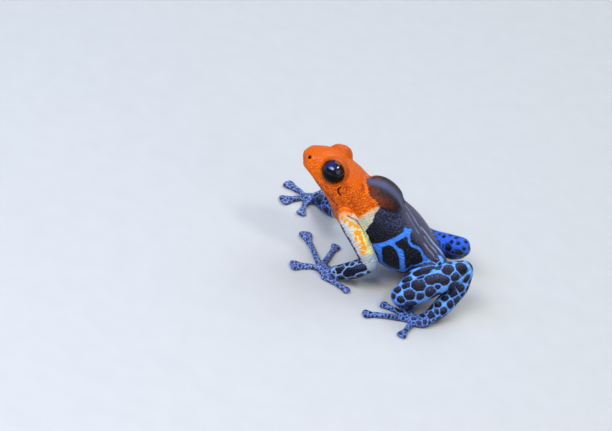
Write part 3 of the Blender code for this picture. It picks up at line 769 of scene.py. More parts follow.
class Skin:
    """The fused skin with its folds, marks and colours."""

    def __init__(self):
        self.points, self.faces, self.edges = fused(all_forms())
        self.soften()
        self.place()
        self.shape_head()
        self.roughen()
        self.points[:, 2] = np.maximum(self.points[:, 2], 0.0)
        self.normals = normals_of(self.points, self.faces)
        self.tree = BVHTree.FromPolygons(self.points.tolist(), self.faces.tolist())
        self.camera = Camera()

    def soften(self):
        """Take the steps of the fusing away, and let the joints of the body run into each other."""
        for _ in range(SMOOTH_ROUNDS):
            for amount in (SMOOTH_IN, SMOOTH_OUT):
                self.points = relaxed(self.points, self.edges, np.full(len(self.points), amount), 1)
        blends = list(BODY_BLENDS)
        for plan in LIMBS.values():
            blends += [(*plan[name][row][:3], radius, most) for name, row, radius, most in JOINT_BLENDS]
        for plan in (*HANDS.values(), *FEET.values()):
            blends += [(*plan["palm"][row][:3], radius, most) for row, radius, most in PALM_BLENDS]
        amount = np.zeros(len(self.points))
        for x, y, z, radius, most in blends:
            away = np.linalg.norm(self.points - (x, y, z), axis=1)
            amount = np.maximum(amount, most * (1 - smooth_step(away, radius * 0.6, radius)))
        for side in SIDES:
            away = np.linalg.norm(self.points - eye_centre(side), axis=1)
            amount *= smooth_step(away, LID_RADIUS, LID_RADIUS + 0.5)
        self.points = relaxed(self.points, self.edges, amount, BLEND_ROUNDS)

    def place(self):
        """Which length of the body each point belongs to, and where on it."""
        self.station, self.wide, self.high, body_gap = body_place(self.points)
        body_gap = np.maximum(body_gap, 0)
        self.part = np.zeros(len(self.points), dtype=np.int64)
        self.names = ["body"]
        self.along = np.zeros(len(self.points))
        best = np.full(len(self.points), np.inf)
        for side in SIDES:
            for name, keys in [*LIMBS[side].items(), ("hand", None), ("foot", None)]:
                self.names.append(f"{name}_{side}")
                if keys is None:
                    gap, along = self.hand_gap(HANDS[side] if name == "hand" else FEET[side])
                else:
                    gap, along = tube_gap(self.points, *limb_rows(keys))
                gap = np.abs(gap)
                closer = gap < best
                best[closer] = gap[closer]
                self.along[closer] = along[closer]
                self.part[closer] = len(self.names) - 1
        self.limb = body_gap / (body_gap + best + 1e-6)
        self.part[self.limb < 0.5] = 0

    def hand_gap(self, plan):
        """How far points lie from a hand or foot, and how far out along it."""
        gap, _ = tube_gap(self.points, *limb_rows(plan["palm"]))
        gap = np.maximum(gap, 0)
        along = np.zeros(len(self.points))
        end = np.array([*plan["palm"][-1][:2], DIGIT_Z])
        for x, y, disc_radius in plan["digits"]:
            tip = np.array([x, y, DIGIT_Z])
            path = np.array([end, (end + tip) / 2 + (0, 0, DIGIT_ARCH), tip])
            here, out = tube_gap(self.points, path, np.full(3, DIGIT_RADIUS))
            disc = np.linalg.norm(self.points - tip, axis=1) - disc_radius
            here = np.minimum(here, disc)
            closer = here < gap
            gap[closer] = here[closer]
            along[closer] = out[closer]
        return np.maximum(gap, 0), along

    def only(self, *kinds):
        """1 on the named lengths of both sides, 0 elsewhere."""
        wanted = [i for i, name in enumerate(self.names)
                  if name in kinds or name.rsplit("_", 1)[0] in kinds]
        return np.isin(self.part, wanted)

    def shape_head(self):
        """Lids round the eyes, the line of the mouth, lips, nostrils and ear discs."""
        normals = normals_of(self.points, self.faces)
        head = (self.part == 0) & (self.station < HEAD_ENDS_X)
        move = np.zeros(len(self.points))
        self.mouth_gap, self.mouth_front = self.from_mouth()
        shut = head * smooth_step(self.mouth_front, -0.5, 0.3)
        low = self.mouth_gap
        move -= shut * MOUTH_DEPTH * ridge(low, 0.0, MOUTH_WIDTH)
        for height, middle, width in LIPS:
            move += shut * height * ridge(low, middle, width)
        self.nostril_gap, self.ear_gap, self.eye_gap = np.full((3, len(self.points)), FAR_OFF)
        self.ear_front = np.zeros(len(self.points))
        for side in SIDES:
            away = np.linalg.norm(self.points - self.on_head(side, NOSTRIL), axis=1)
            self.nostril_gap = np.minimum(self.nostril_gap, away)
            rim, middle, width = NOSTRIL_RIM
            depth, hole = NOSTRIL_HOLE
            move += head * (rim * ridge(away, middle, width) - depth * ridge(away, 0.0, hole))
            ear = self.on_head(side, EAR)
            away = np.linalg.norm(self.points - ear, axis=1)
            ring = np.abs(away - EAR_RADIUS)
            closer = ring < self.ear_gap
            self.ear_gap[closer] = ring[closer]
            self.ear_front[closer] = ((ear - self.points)[closer] @ np.array([0.96, 0, 0.28])) / EAR_RADIUS
            front = smooth_step(self.ear_front, -0.2, 0.8)
            depth = EAR_DEPTHS[0] + EAR_DEPTHS[1] * front
            move -= head * depth * ridge(ring, 0.0, EAR_WIDTH) * (away < 1.0)
            from_eye = self.points - eye_centre(side)
            away = np.linalg.norm(from_eye, axis=1)
            height = from_eye @ look(side)
            below = smooth_step(-from_eye[:, 2], -0.2, 0.8)
            depth, out, width = LID_CREASE
            crease = ridge(away, EYE_RADIUS + out, width) * (height > -0.4)
            move -= head * depth * crease * (0.35 + 0.65 * below)
            self.eye_gap = np.minimum(self.eye_gap, np.abs(away - EYE_RADIUS))
        self.points = self.points + normals * move[:, None]
        for side in SIDES:
            centre = eye_centre(side)
            axis = look(side)
            offset = self.points - centre
            height = offset @ axis
            aside = offset - height[:, None] * axis
            reach = np.linalg.norm(aside, axis=1)
            opening = math.sqrt(EYE_RADIUS ** 2 - LID_OPENING_OFFSET ** 2)
            under = np.sqrt(np.maximum((EYE_RADIUS - EYE_CLEARANCE) ** 2 - reach ** 2, 0.02))
            near = (height > 0) & (height < 3)
            edge = near & (np.abs(reach - opening + LID_EDGE / 2) < LID_EDGE / 2)
            aside = np.where(edge[:, None], aside * (opening / np.maximum(reach, 0.1))[:, None], aside)
            hidden = near & (reach < opening - LID_EDGE)
            height = np.where(hidden, np.minimum(height, under), height)
            self.points = centre + aside + height[:, None] * axis

    def on_head(self, side, point):
        """A point given for the right side, moved onto the skin."""
        aim = beside(side, point)
        return self.points[np.argmin(np.linalg.norm(self.points - aim, axis=1))]

    def from_mouth(self):
        """How far points lie above the plane of the mouth, and how far in front of its corners."""
        lean = Matrix.Rotation(-HEAD_LEAN, 3, "X")
        pitch = Matrix.Rotation(MOUTH_PITCH, 3, "Y")
        turn = np.array(lean @ pitch)
        offset = self.points - np.array(MOUTH_FRONT)
        return offset @ turn[:, 2], MOUTH_CORNER_X - self.points[:, 0]

    def roughen(self):
        """Fine wrinkles and grains on the sides, the throat and the belly."""
        rng = np.random.default_rng(ROUGH_SEED)
        grain = np.zeros(len(self.points))
        for size, share in ROUGH_WAVES:
            for _ in range(WAVES_EACH):
                way = unit(rng.normal(size=3)) * size * rng.uniform(0.8, 1.25)
                grain += share * np.sin(self.points @ way + rng.uniform(0, 6.3)) / WAVES_EACH
        body = self.part == 0
        rough = body * (0.25 + 0.75 * smooth_step(-self.high, -0.5, 0.3))
        height = (grain * rough * ROUGH_HEIGHT)[:, None]
        self.points = self.points + normals_of(self.points, self.faces) * height


def outline_gap(points, corners):
    """How far flat points lie inside a closed outline: positive inside, negative outside."""
    gap = np.full(len(points), np.inf)
    inside = np.zeros(len(points), dtype=bool)
    for a, b in zip(corners, np.roll(corners, -1, axis=0)):
        step = b - a
        t = np.clip((points - a) @ step / (step @ step), 0, 1)
        gap = np.minimum(gap, np.linalg.norm(points - a - t[:, None] * step, axis=1))
        crosses = (a[1] > points[:, 1]) != (b[1] > points[:, 1])
        at = a[0] + (points[:, 1] - a[1]) * step[0] / (step[1] if step[1] else 1e-9)
        inside ^= crosses & (points[:, 0] < at)
    return np.where(inside, gap, -gap)


class Marks:
    """The spots, network, borders and colours of a skin, one value for each of its points."""

    def __init__(self, skin):
        self.skin = skin
        self.rng = np.random.default_rng(MARKS_SEED)
        near = skin.points.copy()
        near[:, 1] = -np.abs(skin.points[:, 1])
        self.seen = skin.camera.pixels(near)
        self.fields = {}
        self.borders()
        self.creases()
        self.cells = []
        self.picture_cells()
        self.other_cells()
        self.network()
        self.folds()
        self.colours()

    def hit(self, x, y):
        """The place on the skin that a pixel of the picture shows."""
        camera = self.skin.camera
        place, _, _, _ = self.skin.tree.ray_cast(Vector(camera.eye), Vector(camera.ray(x, y)))
        return None if place is None else np.array(place)

    def places(self, corners):
        """The places on the skin that pixels of the picture show."""
        found = [self.hit(x, y) for x, y in corners]
        return [place for place in found if place is not None]

    def inside(self, outline):
        """How many millimetres points lie inside an outline of the picture."""
        return outline_gap(self.seen, np.array(outline)) / PIXELS_PER_MM

    def borders(self):
        """The edges of the orange head and of the cream chest and arms."""
        skin = self.skin
        wave = sum(reach * np.sin(skin.points @ way) for reach, way in EDGE_WAVES)
        orange = self.inside(ORANGE_OUTLINE)
        cream = self.inside(CREAM_OUTLINE)
        arms = skin.only("upper_arm")
        legs = skin.only("thigh", "shank", "tarsus", "foot")
        fore = skin.only("forearm")
        shoulder = (ARM_ORANGE_ENDS - skin.along) * ARM_LENGTH
        orange = np.where(arms, np.minimum(shoulder, orange + 0.6), orange)
        orange = np.where(fore | legs | skin.only("hand"), OUTSIDE, orange)
        inner = np.zeros(len(skin.points))
        for side, sign in SIDES.items():
            aside, above = ARM_FRONT_WAY
            way = aside * skin.camera.right + above * skin.camera.up
            way = way * (1, -sign, 1)
            path, radii = limb_rows(LIMBS[side]["upper_arm"])
            on = skin.only(f"upper_arm_{side}")
            nearest = np.argmin(np.linalg.norm(skin.points[on][:, None] - path[None], axis=2), axis=1)
            inner[on] = (skin.points[on] - path[nearest]) @ way / radii[nearest]
        cream = np.where(arms, (ARM_CREAM_ENDS - inner) * 0.9, cream)
        far = np.minimum(cream, (FAR_ARM_CREAM_ENDS - skin.along) * ARM_LENGTH)
        cream = np.where(skin.only("upper_arm_right"), far, cream)
        elbow = (ELBOW_CREAM_ENDS - skin.along) * ARM_LENGTH
        cream = np.where(fore, elbow, cream)
        cream = np.where(legs | skin.only("hand"), OUTSIDE, cream)
        self.fields["orange"] = orange + wave
        self.fields["cream"] = cream + wave * 0.4
        front = arms * smooth_step(inner, -0.1, 0.5)
        low = arms * smooth_step(skin.along, 0.35, 0.6) * (1 - front)
        elbow = np.maximum(arms * smooth_step(skin.along, 0.84, 0.97), fore * 1.0)
        pale = np.tile(srgb(*CREAM), (len(skin.points), 1))
        for share, colour in ((front, ARM_FRONT), (low, ARM_YELLOW), (elbow, ELBOW_BLUE)):
            pale += share[:, None] * (srgb(*colour) - pale)
        self.pale = pale

    def creases(self):
        """Folds at the heel, the arm and the hump, their distances for the painted shade, and where the
        hump is brown.
        """
        skin = self.skin
        self.crease = np.full(len(skin.points), FAR_OFF)
        self.sunk = np.zeros(len(skin.points))
        for depth, width, both, corners in CREASES:
            found = self.places(corners)
            for mirror in (1, -1) if both else (1,):
                gap = self.cell_gap([(place * (1, mirror, 1), 0.0) for place in found])
                self.sunk = np.maximum(self.sunk, depth * np.exp(-(gap / width) ** 2))
                self.crease = np.minimum(self.crease, gap / width)
        inside = self.inside(HUMP_OUTLINE)
        self.hump = smooth_step(inside, -0.08, 0.16) * (skin.part == 0)

    def add_cell(self, circles):
        """Keep a dark cell: one circle, or several that run into each other."""
        self.cells.append([(np.asarray(centre, float), radius) for centre, radius in circles])

    def picture_cells(self):
        """The cells that the picture shows, on the near legs and forearm."""
        for chain in SHANK_CELLS + TARSUS_CELLS + FOREARM_CELLS:
            circles = [(self.hit(x, y), radius / PIXELS_PER_MM) for x, y, radius in chain]
            circles = [(place, radius) for place, radius in circles if place is not None]
            if circles:
                self.add_cell(circles)

    def other_cells(self):
        """Cells of a seeded scatter wherever the picture shows none."""
        skin = self.skin
        taken = np.array([place for cell in self.cells for place, _ in cell])
        sizes = np.array([radius for cell in self.cells for _, radius in cell])
        for kinds, low, high, gap, tries in SCATTER:
            if kinds == ("belly",):
                on = (skin.part == 0) & (skin.high < BELLY_TOP) & (self.fields["cream"] < -0.3)
            else:
                on = skin.only(*kinds)
            where = np.flatnonzero(on)
            starts = self.rng.integers(0, len(where), tries)
            for radius, start in zip(np.linspace(high, low, tries), starts):
                place = skin.points[where[start]]
                radius = radius * self.rng.uniform(0.85, 1.15)
                away = np.linalg.norm(taken - place, axis=1) - sizes - radius
                if away.min() < gap:
                    continue
                taken = np.vstack([taken, place])
                sizes = np.append(sizes, radius)
                self.add_cell([(place, radius)])

    def cell_gap(self, cell):
        """How far all points lie from a cell's edge."""
        points = self.skin.points
        gap = np.full(len(points), np.inf)
        for (a, first), (b, last) in zip(cell, cell[1:] or cell):
            step = b - a
            t = np.clip((points - a) @ step / max(step @ step, 1e-9), 0, 1)
            near = a + t[:, None] * step
            gap = np.minimum(gap, np.linalg.norm(points - near, axis=1) - first * (1 - t) - last * t)
        return gap

    def network(self):
        """How far points lie inside the dark: positive in a cell, negative on the blue between them."""
        skin = self.skin
        first = np.full(len(skin.points), FAR_OFF)
        second = first.copy()
        self.shade = np.ones(len(skin.points))
        # How high each point lies in its cell along the camera's up, for a painted highlight on each cell's
        # upper side
        above = np.zeros(len(skin.points))
        for cell in self.cells:
            gap = self.cell_gap(cell)
            second = np.minimum(second, np.maximum(gap, first))
            closer = gap < first
            self.shade[closer] = self.rng.uniform(*CELL_SHADES)
            middle = np.mean([place for place, _ in cell], axis=0)
            radius = max(radius for _, radius in cell)
            above[closer] = (skin.points[closer] - middle) @ skin.camera.up / radius
            first = np.minimum(first, gap)
        dark = np.minimum(CELL_GROWS - first, (second - first) / 2 - CELL_APART)
        webbed = np.zeros(len(skin.points))
        for width, corners in FLANK_LINES:
            found = self.places(corners)
            for mirror in (1, -1):
                line = [(place * (1, mirror, 1), width / 2 / PIXELS_PER_MM) for place in found]
                webbed += np.exp(-WEBBING * self.cell_gap(line))
        lines = -np.log(np.maximum(webbed, 1e-9)) / WEBBING
        dark[skin.only("upper_arm")] = FAR_OFF
        belly = smooth_step(-skin.high, 0.40, 0.60) * smooth_step(skin.station, -3.0, -1.5)
        trunk = np.minimum(lines, dark * belly + 1.0 * (1 - belly))
        mixed = np.where(skin.part == 0, trunk, dark)
        groin = (skin.part == 0) & (skin.limb > 0.25)
        mixed = np.where(groin, np.minimum(trunk, np.maximum(dark, (0.5 - skin.limb) * 3.0)), mixed)
        self.slate = smooth_step(self.inside(SLATE_OUTLINE), -0.4, 0.5)
        self.slate *= skin.part == 0
        self.fields["dark"] = mixed
        # Painted sheen: a highlight on the upper flank's grains, fading down a sloping line, and on each
        # limb cell's upper side
        flank = 1 - smooth_step(self.seen[:, 1] - PAINTED_SHEEN_SLOPE * (self.seen[:, 0] - PAINTED_SHEEN_TOP), *PAINTED_SHEEN_ROWS)
        flank = 0.12 + 0.88 * flank
        flank = flank * (1 - self.slate) * (1 - self.hump)
        self.fields["painted_sheen"] = np.where(skin.part == 0, flank, smooth_step(above, -0.5, 1.0))
        blotch = np.full(len(skin.points), FAR_OFF)
        for x, y, radius in ARM_BLOTCHES:
            place = self.hit(x, y)
            if place is not None:
                blotch = np.minimum(blotch, self.cell_gap([(place, radius / PIXELS_PER_MM)]))
        where = np.flatnonzero(skin.only("upper_arm_right"))
        for start in self.rng.integers(0, len(where), FAR_ARM_BLOTCHES):
            circle = (skin.points[where[start]], self.rng.uniform(*FAR_ARM_BLOTCH_RADII))
            blotch = np.minimum(blotch, self.cell_gap([circle]))
        self.fields["blotch"] = -blotch
        # Painted highlight streaks along the back
        highlight_streak = np.full(len(skin.points), FAR_OFF)
        for width, corners in BACK_HIGHLIGHT_STREAKS:
            line = [(place, width / PIXELS_PER_MM) for place in self.places(corners)]
            highlight_streak = np.minimum(highlight_streak, self.cell_gap(line))
        self.fields["highlight_streak"] = -highlight_streak

    def folds(self):
        """Distances from the painted shade lines in the head's folds, painted shade under the jaw and at
        the lids' edges, and the grain of each length.
        """
        skin = self.skin
        head = skin.part == 0
        behind = np.maximum(MOUTH_CORNER_X + 0.3 - skin.mouth_front, 0) * 2
        front = skin.station < FACE_ENDS_X
        mouth = np.where(head & front, np.abs(skin.mouth_gap) + behind, FAR_OFF)
        self.fields["mouth"] = mouth
        self.fields["crease"] = self.crease
        # Painted shade on the skin that faces forward and down under the jaw
        jaw_shade = smooth_step(skin.normals @ JAW_SHADE_WAY, 0.30, 0.85)
        self.fields["jaw_shade"] = jaw_shade * head * smooth_step(self.fields["orange"], 0.3, 1.0)
        rest = (1 - smooth_step(skin.ear_front, -0.3, 0.6)) * 0.25
        self.fields["ear"] = np.where(head & front, skin.ear_gap + rest, FAR_OFF)
        self.fields["nostril"] = np.where(head & front, skin.nostril_gap, FAR_OFF)
        # Distance from the eyeball, for painted shade on the lid's edge next to it
        self.fields["rim"] = np.where(head & front, skin.eye_gap, FAR_OFF)
        # The top of the head, where painted shade darkens the orange
        crown = smooth_step(skin.high, 0.35, 0.75) * (skin.station < FACE_ENDS_X) * head
        self.fields["crown"] = crown
        back = np.maximum(crown, np.maximum(self.slate, 0.8 * self.hump))
        snout = smooth_step(-skin.station, 7.5, 9.0) * head
        grain = np.where(head, 1.0 - 0.75 * back - 0.45 * snout * (1 - back), 0.7)
        grain = np.where(skin.only("upper_arm"), 0.45, grain)
        grain = np.where(skin.only("hand", "foot"), 0.4, grain)
        self.fields["grain"] = np.clip(grain, 0, 1)

    def colours(self):
        """The colour of the network's lines and of its cells, by length of the body, with a painted
        highlight on the hump's top and painted shade on the limbs' undersides.
        """
        skin = self.skin
        count = len(skin.points)
        line = np.tile(srgb(*LEG_BLUE), (count, 1))
        cell = np.tile(srgb(*LEG_DARK), (count, 1))
        trunk = skin.part == 0
        line[trunk] = srgb(*FLANK_BLUE)
        slate = srgb(*BACK_SLATE)
        black = srgb(*FLANK_BLACK)
        share = self.slate[:, None]
        hump = self.hump[:, None]
        # Painted highlight: the hump turns bluish grey towards the back's middle line
        facing = 1 - smooth_step(np.abs(skin.points[:, 1]), 0.1, 1.3)[:, None]
        rust = self.hump * smooth_step(self.fields["orange"], -1.9, 0.0)
        self.fields["rust"] = rust * (1 - facing[:, 0])
        brown = srgb(*HUMP_BROWN) * (1 - facing) + srgb(*HUMP_PAINTED_SHEEN) * facing
        back = black * (1 - share) + slate * share
        back = back * (1 - hump) + brown * hump
        cell = np.where(trunk[:, None], back, cell)
        for kinds, blue, dark in LIMB_COLOURS:
            on = skin.only(*kinds)
            line[on] = srgb(*blue)
            cell[on] = srgb(*dark)
        # Painted shade: lines on the limbs' downward-facing skin turn deep blue
        under = smooth_step(-skin.normals[:, 2], -0.1, 0.8) * UNDERSIDE_SHADE_SHARE * (skin.part > 0)
        line += under[:, None] * (srgb(*LINE_DEEP) - line)
        cell = np.where((skin.part == 0)[:, None], cell, cell * self.shade[:, None])
        self.line = self.eased(line)
        self.cell = self.eased(cell)
        # How much dark mottling and painted highlight the hands and feet take
        mottled = np.where(skin.only("hand"), HAND_MOTTLE_AND_GLINT, np.where(skin.only("foot"), FOOT_MOTTLE_AND_GLINT, 0.0))
        mottled = relaxed(mottled[:, None], skin.edges, np.full(count, EASE), MOTTLE_ROUNDS)
        self.fields["mottle_and_glint"] = mottled[:, 0]
        skin.points = skin.points - skin.normals * self.sunk[:, None]

    def eased(self, colour):
        """Colours that run into each other where two lengths meet."""
        return relaxed(colour, self.skin.edges, np.full(len(colour), EASE), EASE_ROUNDS)


class Shader:
    """A material put together from nodes by short calls."""

    def __init__(self, name):
        self.material = bpy.data.materials.new(name)
        self.material.use_nodes = True
        self.nodes = self.material.node_tree.nodes
        self.links = self.material.node_tree.links
        self.surface = self.nodes["Principled BSDF"]
        self.place = self.nodes.new("ShaderNodeTexCoord").outputs["Object"]

    def feed(self, socket, value):
        """Set a socket, or link another node's output to it."""
        if isinstance(value, bpy.types.NodeSocket):
            self.links.new(value, socket)
        elif socket.type == "RGBA":
            socket.default_value = (*value, 1.0)
        else:
            socket.default_value = value

    def field(self, name, output="Fac"):
        """A value kept at the points of the mesh."""
        node = self.nodes.new("ShaderNodeAttribute")
        node.attribute_name = name
        return node.outputs[output]

    def colour(self, name):
        """A colour kept at the points of the mesh."""
        return self.field(name, "Color")

    def plus(self, first, second):
        """The sum of two values."""
        return self.maths("ADD", first, second)

    def times(self, first, second):
        """The product of two values."""
        return self.maths("MULTIPLY", first, second)

    def uneven(self, size_mm, detail, spread):
        """Noise that goes either way from 0."""
        return self.times(self.maths("SUBTRACT", self.noise(size_mm, detail), 0.5), spread)

    def waves(self, way, size_mm, bent):
        """Rows of wrinkles across a direction, from -1 to 1, bent by a noise."""
        node = self.nodes.new("ShaderNodeVectorMath")
        node.operation = "DOT_PRODUCT"
        self.feed(node.inputs[0], self.place)
        self.feed(node.inputs[1], Vector(way) * (2 * math.pi / (size_mm * MM)))
        return self.maths("SINE", self.plus(node.outputs["Value"], bent))

    def maths(self, kind, first, second=0.0):
        """One sum on values."""
        node = self.nodes.new("ShaderNodeMath")
        node.operation = kind
        self.feed(node.inputs[0], first)
        self.feed(node.inputs[1], second)
        return node.outputs[0]

    def rise(self, value, low, high, start=0.0, end=1.0):
        """A smooth step from start to end as the value goes from low to high."""
        node = self.nodes.new("ShaderNodeMapRange")
        node.interpolation_type = "SMOOTHSTEP"
        for name, given in (("Value", value), ("From Min", low), ("From Max", high), ("To Min", start),
                            ("To Max", end)):
            self.feed(node.inputs[name], given)
        return node.outputs["Result"]

    def blend(self, first, second, share, kind="MIX"):
        """Two colours mixed."""
        node = self.nodes.new("ShaderNodeMix")
        node.data_type = "RGBA"
        node.blend_type = kind
        self.feed(node.inputs[0], share)
        self.feed(node.inputs[6], first)
        self.feed(node.inputs[7], second)
        return node.outputs[2]

    def paint(self, under, colour, share):
        """A colour given in 0 to 255 steps, laid over another."""
        return self.blend(under, srgb(*colour), share)

    def noise(self, size_mm, detail=2.0):
        """Cloudy noise with features of a real size."""
        node = self.nodes.new("ShaderNodeTexNoise")
        self.feed(node.inputs["Vector"], self.place)
        self.feed(node.inputs["Scale"], 1 / (size_mm * MM))
        self.feed(node.inputs["Detail"], detail)
        return node.outputs["Fac"]

    def grains(self, size_mm):
        """Rounded grains of a real size: 1 on top of each, falling towards their edges."""
        node = self.nodes.new("ShaderNodeTexVoronoi")
        node.feature = "SMOOTH_F1"
        self.feed(node.inputs["Vector"], self.place)
        self.feed(node.inputs["Scale"], 1 / (size_mm * MM))
        self.feed(node.inputs["Smoothness"], 0.4)
        return self.rise(node.outputs["Distance"], 0.75, 0.05)

    def bump(self, height, height_mm, under=None):
        """A normal from a height."""
        node = self.nodes.new("ShaderNodeBump")
        self.feed(node.inputs["Distance"], height_mm * MM)
        self.feed(node.inputs["Height"], height)
        if under is not None:
            self.feed(node.inputs["Normal"], under)
        return node.outputs["Normal"]

    def set(self, **values):
        """Inputs of the surface, with spaces in their names written as underscores."""
        for name, value in values.items():
            self.feed(self.surface.inputs[name.replace("_", " ")], value)


def skin_material():
    """Moist, finely grained skin that takes its marks, its painted shade and its painted highlights from
    the points of the mesh.
    """
    made = Shader("frog_skin")
    grain = made.grains(GRAIN_SIZE)
    small = made.grains(SMALL_GRAIN_SIZE)
    fine = made.noise(FINE_SIZE, 3.0)
    cloud = made.noise(CLOUD_SIZE, 3.0)
    ragged = made.uneven(0.22, 3.0, 0.16)
    dark = made.plus(made.field("dark"), ragged)
    # Painted highlight on the grain tops, as much as the painted sheen field gives
    tops = made.times(made.rise(grain, 0.35, 0.9, 0.3, 1.0), made.rise(small, 0.25, 0.8, 0.25, 1.0))
    cell = made.paint(made.colour("cell"), CELL_PAINTED_SHEEN, made.times(tops, made.field("painted_sheen")))
    edge = made.rise(dark, -0.14, 0.0)
    line = made.paint(made.colour("line"), LINE_DEEP, made.rise(fine, 0.35, 0.8, 0.0, 0.30))
    line = made.paint(line, LINE_DEEP, made.times(edge, 0.45))
    line = made.paint(line, LINE_DEEP, made.rise(made.noise(0.4, 2.0), 0.45, 0.72, 0.0, 0.40))
    mottle_and_glint = made.field("mottle_and_glint")
    # Dark mottling between the grains, then painted highlight on the grain tops
    line = made.paint(line, MOTTLE_DARK, made.times(made.rise(small, 0.42, 0.22), mottle_and_glint))
    line = made.paint(line, MOTTLE_HIGHLIGHT, made.times(made.rise(small, 0.55, 0.90), mottle_and_glint))
    colour = made.blend(line, cell, made.rise(dark, -0.03, 0.04))
    # Painted highlight streaks along the back
    highlight_streak = made.plus(made.field("highlight_streak"), ragged)
    highlight_streak = made.times(made.rise(highlight_streak, -0.20, 0.12), made.rise(cloud, 0.35, 0.7, 0.35, 0.9))
    colour = made.paint(colour, STREAK_HIGHLIGHT, highlight_streak)
    rust = made.times(made.field("rust"), made.rise(cloud, 0.30, 0.62, 0.15, 1.0))
    colour = made.paint(colour, RUST, rust)
    rows = made.waves(WRINKLE_WAY, WRINKLE_SIZE, made.times(made.noise(0.8, 2.0), 16.0))
    cream = made.paint(made.colour("pale"), CREAM_SHADE, made.rise(cloud, 0.35, 0.7, 0.0, 0.7))
    cream = made.paint(cream, CREAM_LINES, made.rise(rows, 0.45, 0.95, 0.0, 0.38))
    patchy = made.uneven(0.42, 2.0, 0.9)
    blotch = made.plus(made.plus(made.field("blotch"), ragged), patchy)
    cream = made.paint(cream, BLOTCH, made.rise(blotch, -0.05, 0.06))
    near_orange = made.plus(made.field("orange"), patchy)
    near_orange = made.times(made.rise(near_orange, -0.75, 0.05), 0.8)
    cream = made.paint(cream, BLOTCH, near_orange)
    cream_edge = made.plus(made.field("cream"), ragged)
    colour = made.blend(colour, cream, made.rise(cream_edge, -0.10, 0.06))
    orange = made.paint(srgb(*ORANGE), ORANGE_DEEP, made.rise(cloud, 0.42, 0.75))
    # Painted shade in the grooves between the grains and along the wrinkles, then painted highlight on the
    # grain tops
    coarse = made.times(made.rise(grain, 0.80, 0.35), made.field("grain"))
    coarse = made.times(coarse, made.rise(rows, -0.6, 0.8, 0.45, 1.0))
    orange = made.paint(orange, ORANGE_SHADE, made.times(coarse, 0.60))
    orange = made.paint(orange, ORANGE_GRAIN_HIGHLIGHT, made.rise(grain, 0.6, 1.0, 0.0, 0.45))
    # Painted shade on the crown
    orange = made.paint(orange, ORANGE_CROWN_SHADE, made.times(made.field("crown"), 0.75))
    # Painted shade under the jaw
    orange = made.paint(orange, ORANGE_SHADE, made.times(made.field("jaw_shade"), 0.35))
    # Painted shade on the lid's edge round the eye
    orange = made.paint(orange, ORANGE_SHADE, made.rise(made.field("rim"), 0.34, 0.10, 0.0, 0.35))
    orange_edge = made.plus(made.field("orange"), made.times(ragged, 2.0))
    colour = made.blend(colour, orange, made.rise(orange_edge, -0.16, 0.12))
    # Painted shade along the mouth, the creases and the ear's ring, and into the nostrils
    for name, low, high, most in FOLD_SHADE_LINES:
        colour = made.paint(colour, FOLD_SHADE, made.rise(made.field(name), low, high, 0.0, most))
    height = made.plus(grain, made.times(small, 0.5))
    height = made.times(height, made.field("grain"))
    normal = made.bump(height, GRAIN_HEIGHT)
    normal = made.bump(fine, FINE_HEIGHT, normal)
    made.set(Base_Color=colour, Normal=normal, Roughness=made.rise(fine, 0.2, 0.8, 0.30, 0.42),
             Specular_IOR_Level=0.08, Subsurface_Weight=0.04, Subsurface_Scale=0.3 * MM,
             Coat_Weight=made.rise(made.field("crown"), 0.0, 1.0, 0.12, 0.22),
             Coat_Roughness=0.10, Coat_Normal=normal)
    made.surface.inputs["Subsurface Radius"].default_value = (1.0, 0.45, 0.25)
    return made.material


def eye_material():
    """A wet black eye with a very dark brown iris round the pupil, and a painted blue reflection above and
    in front.
    """
    made = Shader("frog_eye")
    ring = made.field("ring")
    streaks = made.noise(0.16, 4.0)
    iris = made.paint(srgb(*IRIS_DARK), IRIS_BROWN, made.rise(streaks, 0.4, 0.7))
    colour = made.paint(iris, PUPIL, made.rise(ring, 0.66, 0.58))
    colour = made.paint(colour, EYE_EDGE, made.rise(ring, 0.90, 0.97))
    # Painted reflection: dark blue on the eye's upper front
    cloudy = made.rise(made.noise(0.7, 2.0), 0.35, 0.6)
    painted_sheen = made.times(made.rise(made.field("painted_sheen"), 0.76, 0.99), cloudy)
    colour = made.paint(colour, EYE_PAINTED_REFLECTION, painted_sheen)
    made.set(Base_Color=colour, Roughness=0.06, Specular_IOR_Level=0.05, Coat_Roughness=0.02, Coat_IOR=1.5,
             Coat_Weight=made.rise(made.field("upper"), 0.05, 0.42, 0.08, 1.0))
    return made.material


def floor_material():
    """Plain, pale, faintly mottled paper."""
    made = Shader("pale_paper")
    made.set(Base_Color=made.blend(*FLOOR_TONES, made.noise(FLOOR_MOTTLE_SIZE)), Roughness=0.85)
    return made.material


def piece_from(name, points, faces, shift):
    """A smooth mesh piece, its points in millimetres moved into the solids' frame."""
    made = bpy.data.meshes.new(name)
    made.from_pydata(((points + shift) * MM).tolist(), [], faces)
    made.shade_smooth()
    piece = bpy.data.objects.new(name, made)
    bpy.context.scene.collection.objects.link(piece)
    return piece


def keep_values(piece, name, values):
    """Keep a value or a colour at each point of a piece, for its material to read."""
    values = np.asarray(values, np.float32)
    if values.ndim == 1:
        piece.data.attributes.new(name, "FLOAT", "POINT").data.foreach_set("value", values)
        return
    values = np.hstack([values, np.ones((len(values), 1), np.float32)])
    piece.data.attributes.new(name, "FLOAT_COLOR", "POINT").data.foreach_set("color", values.ravel())


def add_skin(shift):
    """The frog's one skin, in place of its solids."""
    skin = Skin()
    marks = Marks(skin)
    piece = piece_from("frog_skin", skin.points, skin.faces.tolist(), shift)
    colours = {"line": marks.line, "cell": marks.cell, "pale": marks.pale}
    for name, values in (marks.fields | colours).items():
        keep_values(piece, name, values)
    piece.data.materials.append(skin_material())
    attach(piece, "root")
    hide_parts(*[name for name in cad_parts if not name.startswith("eye")])


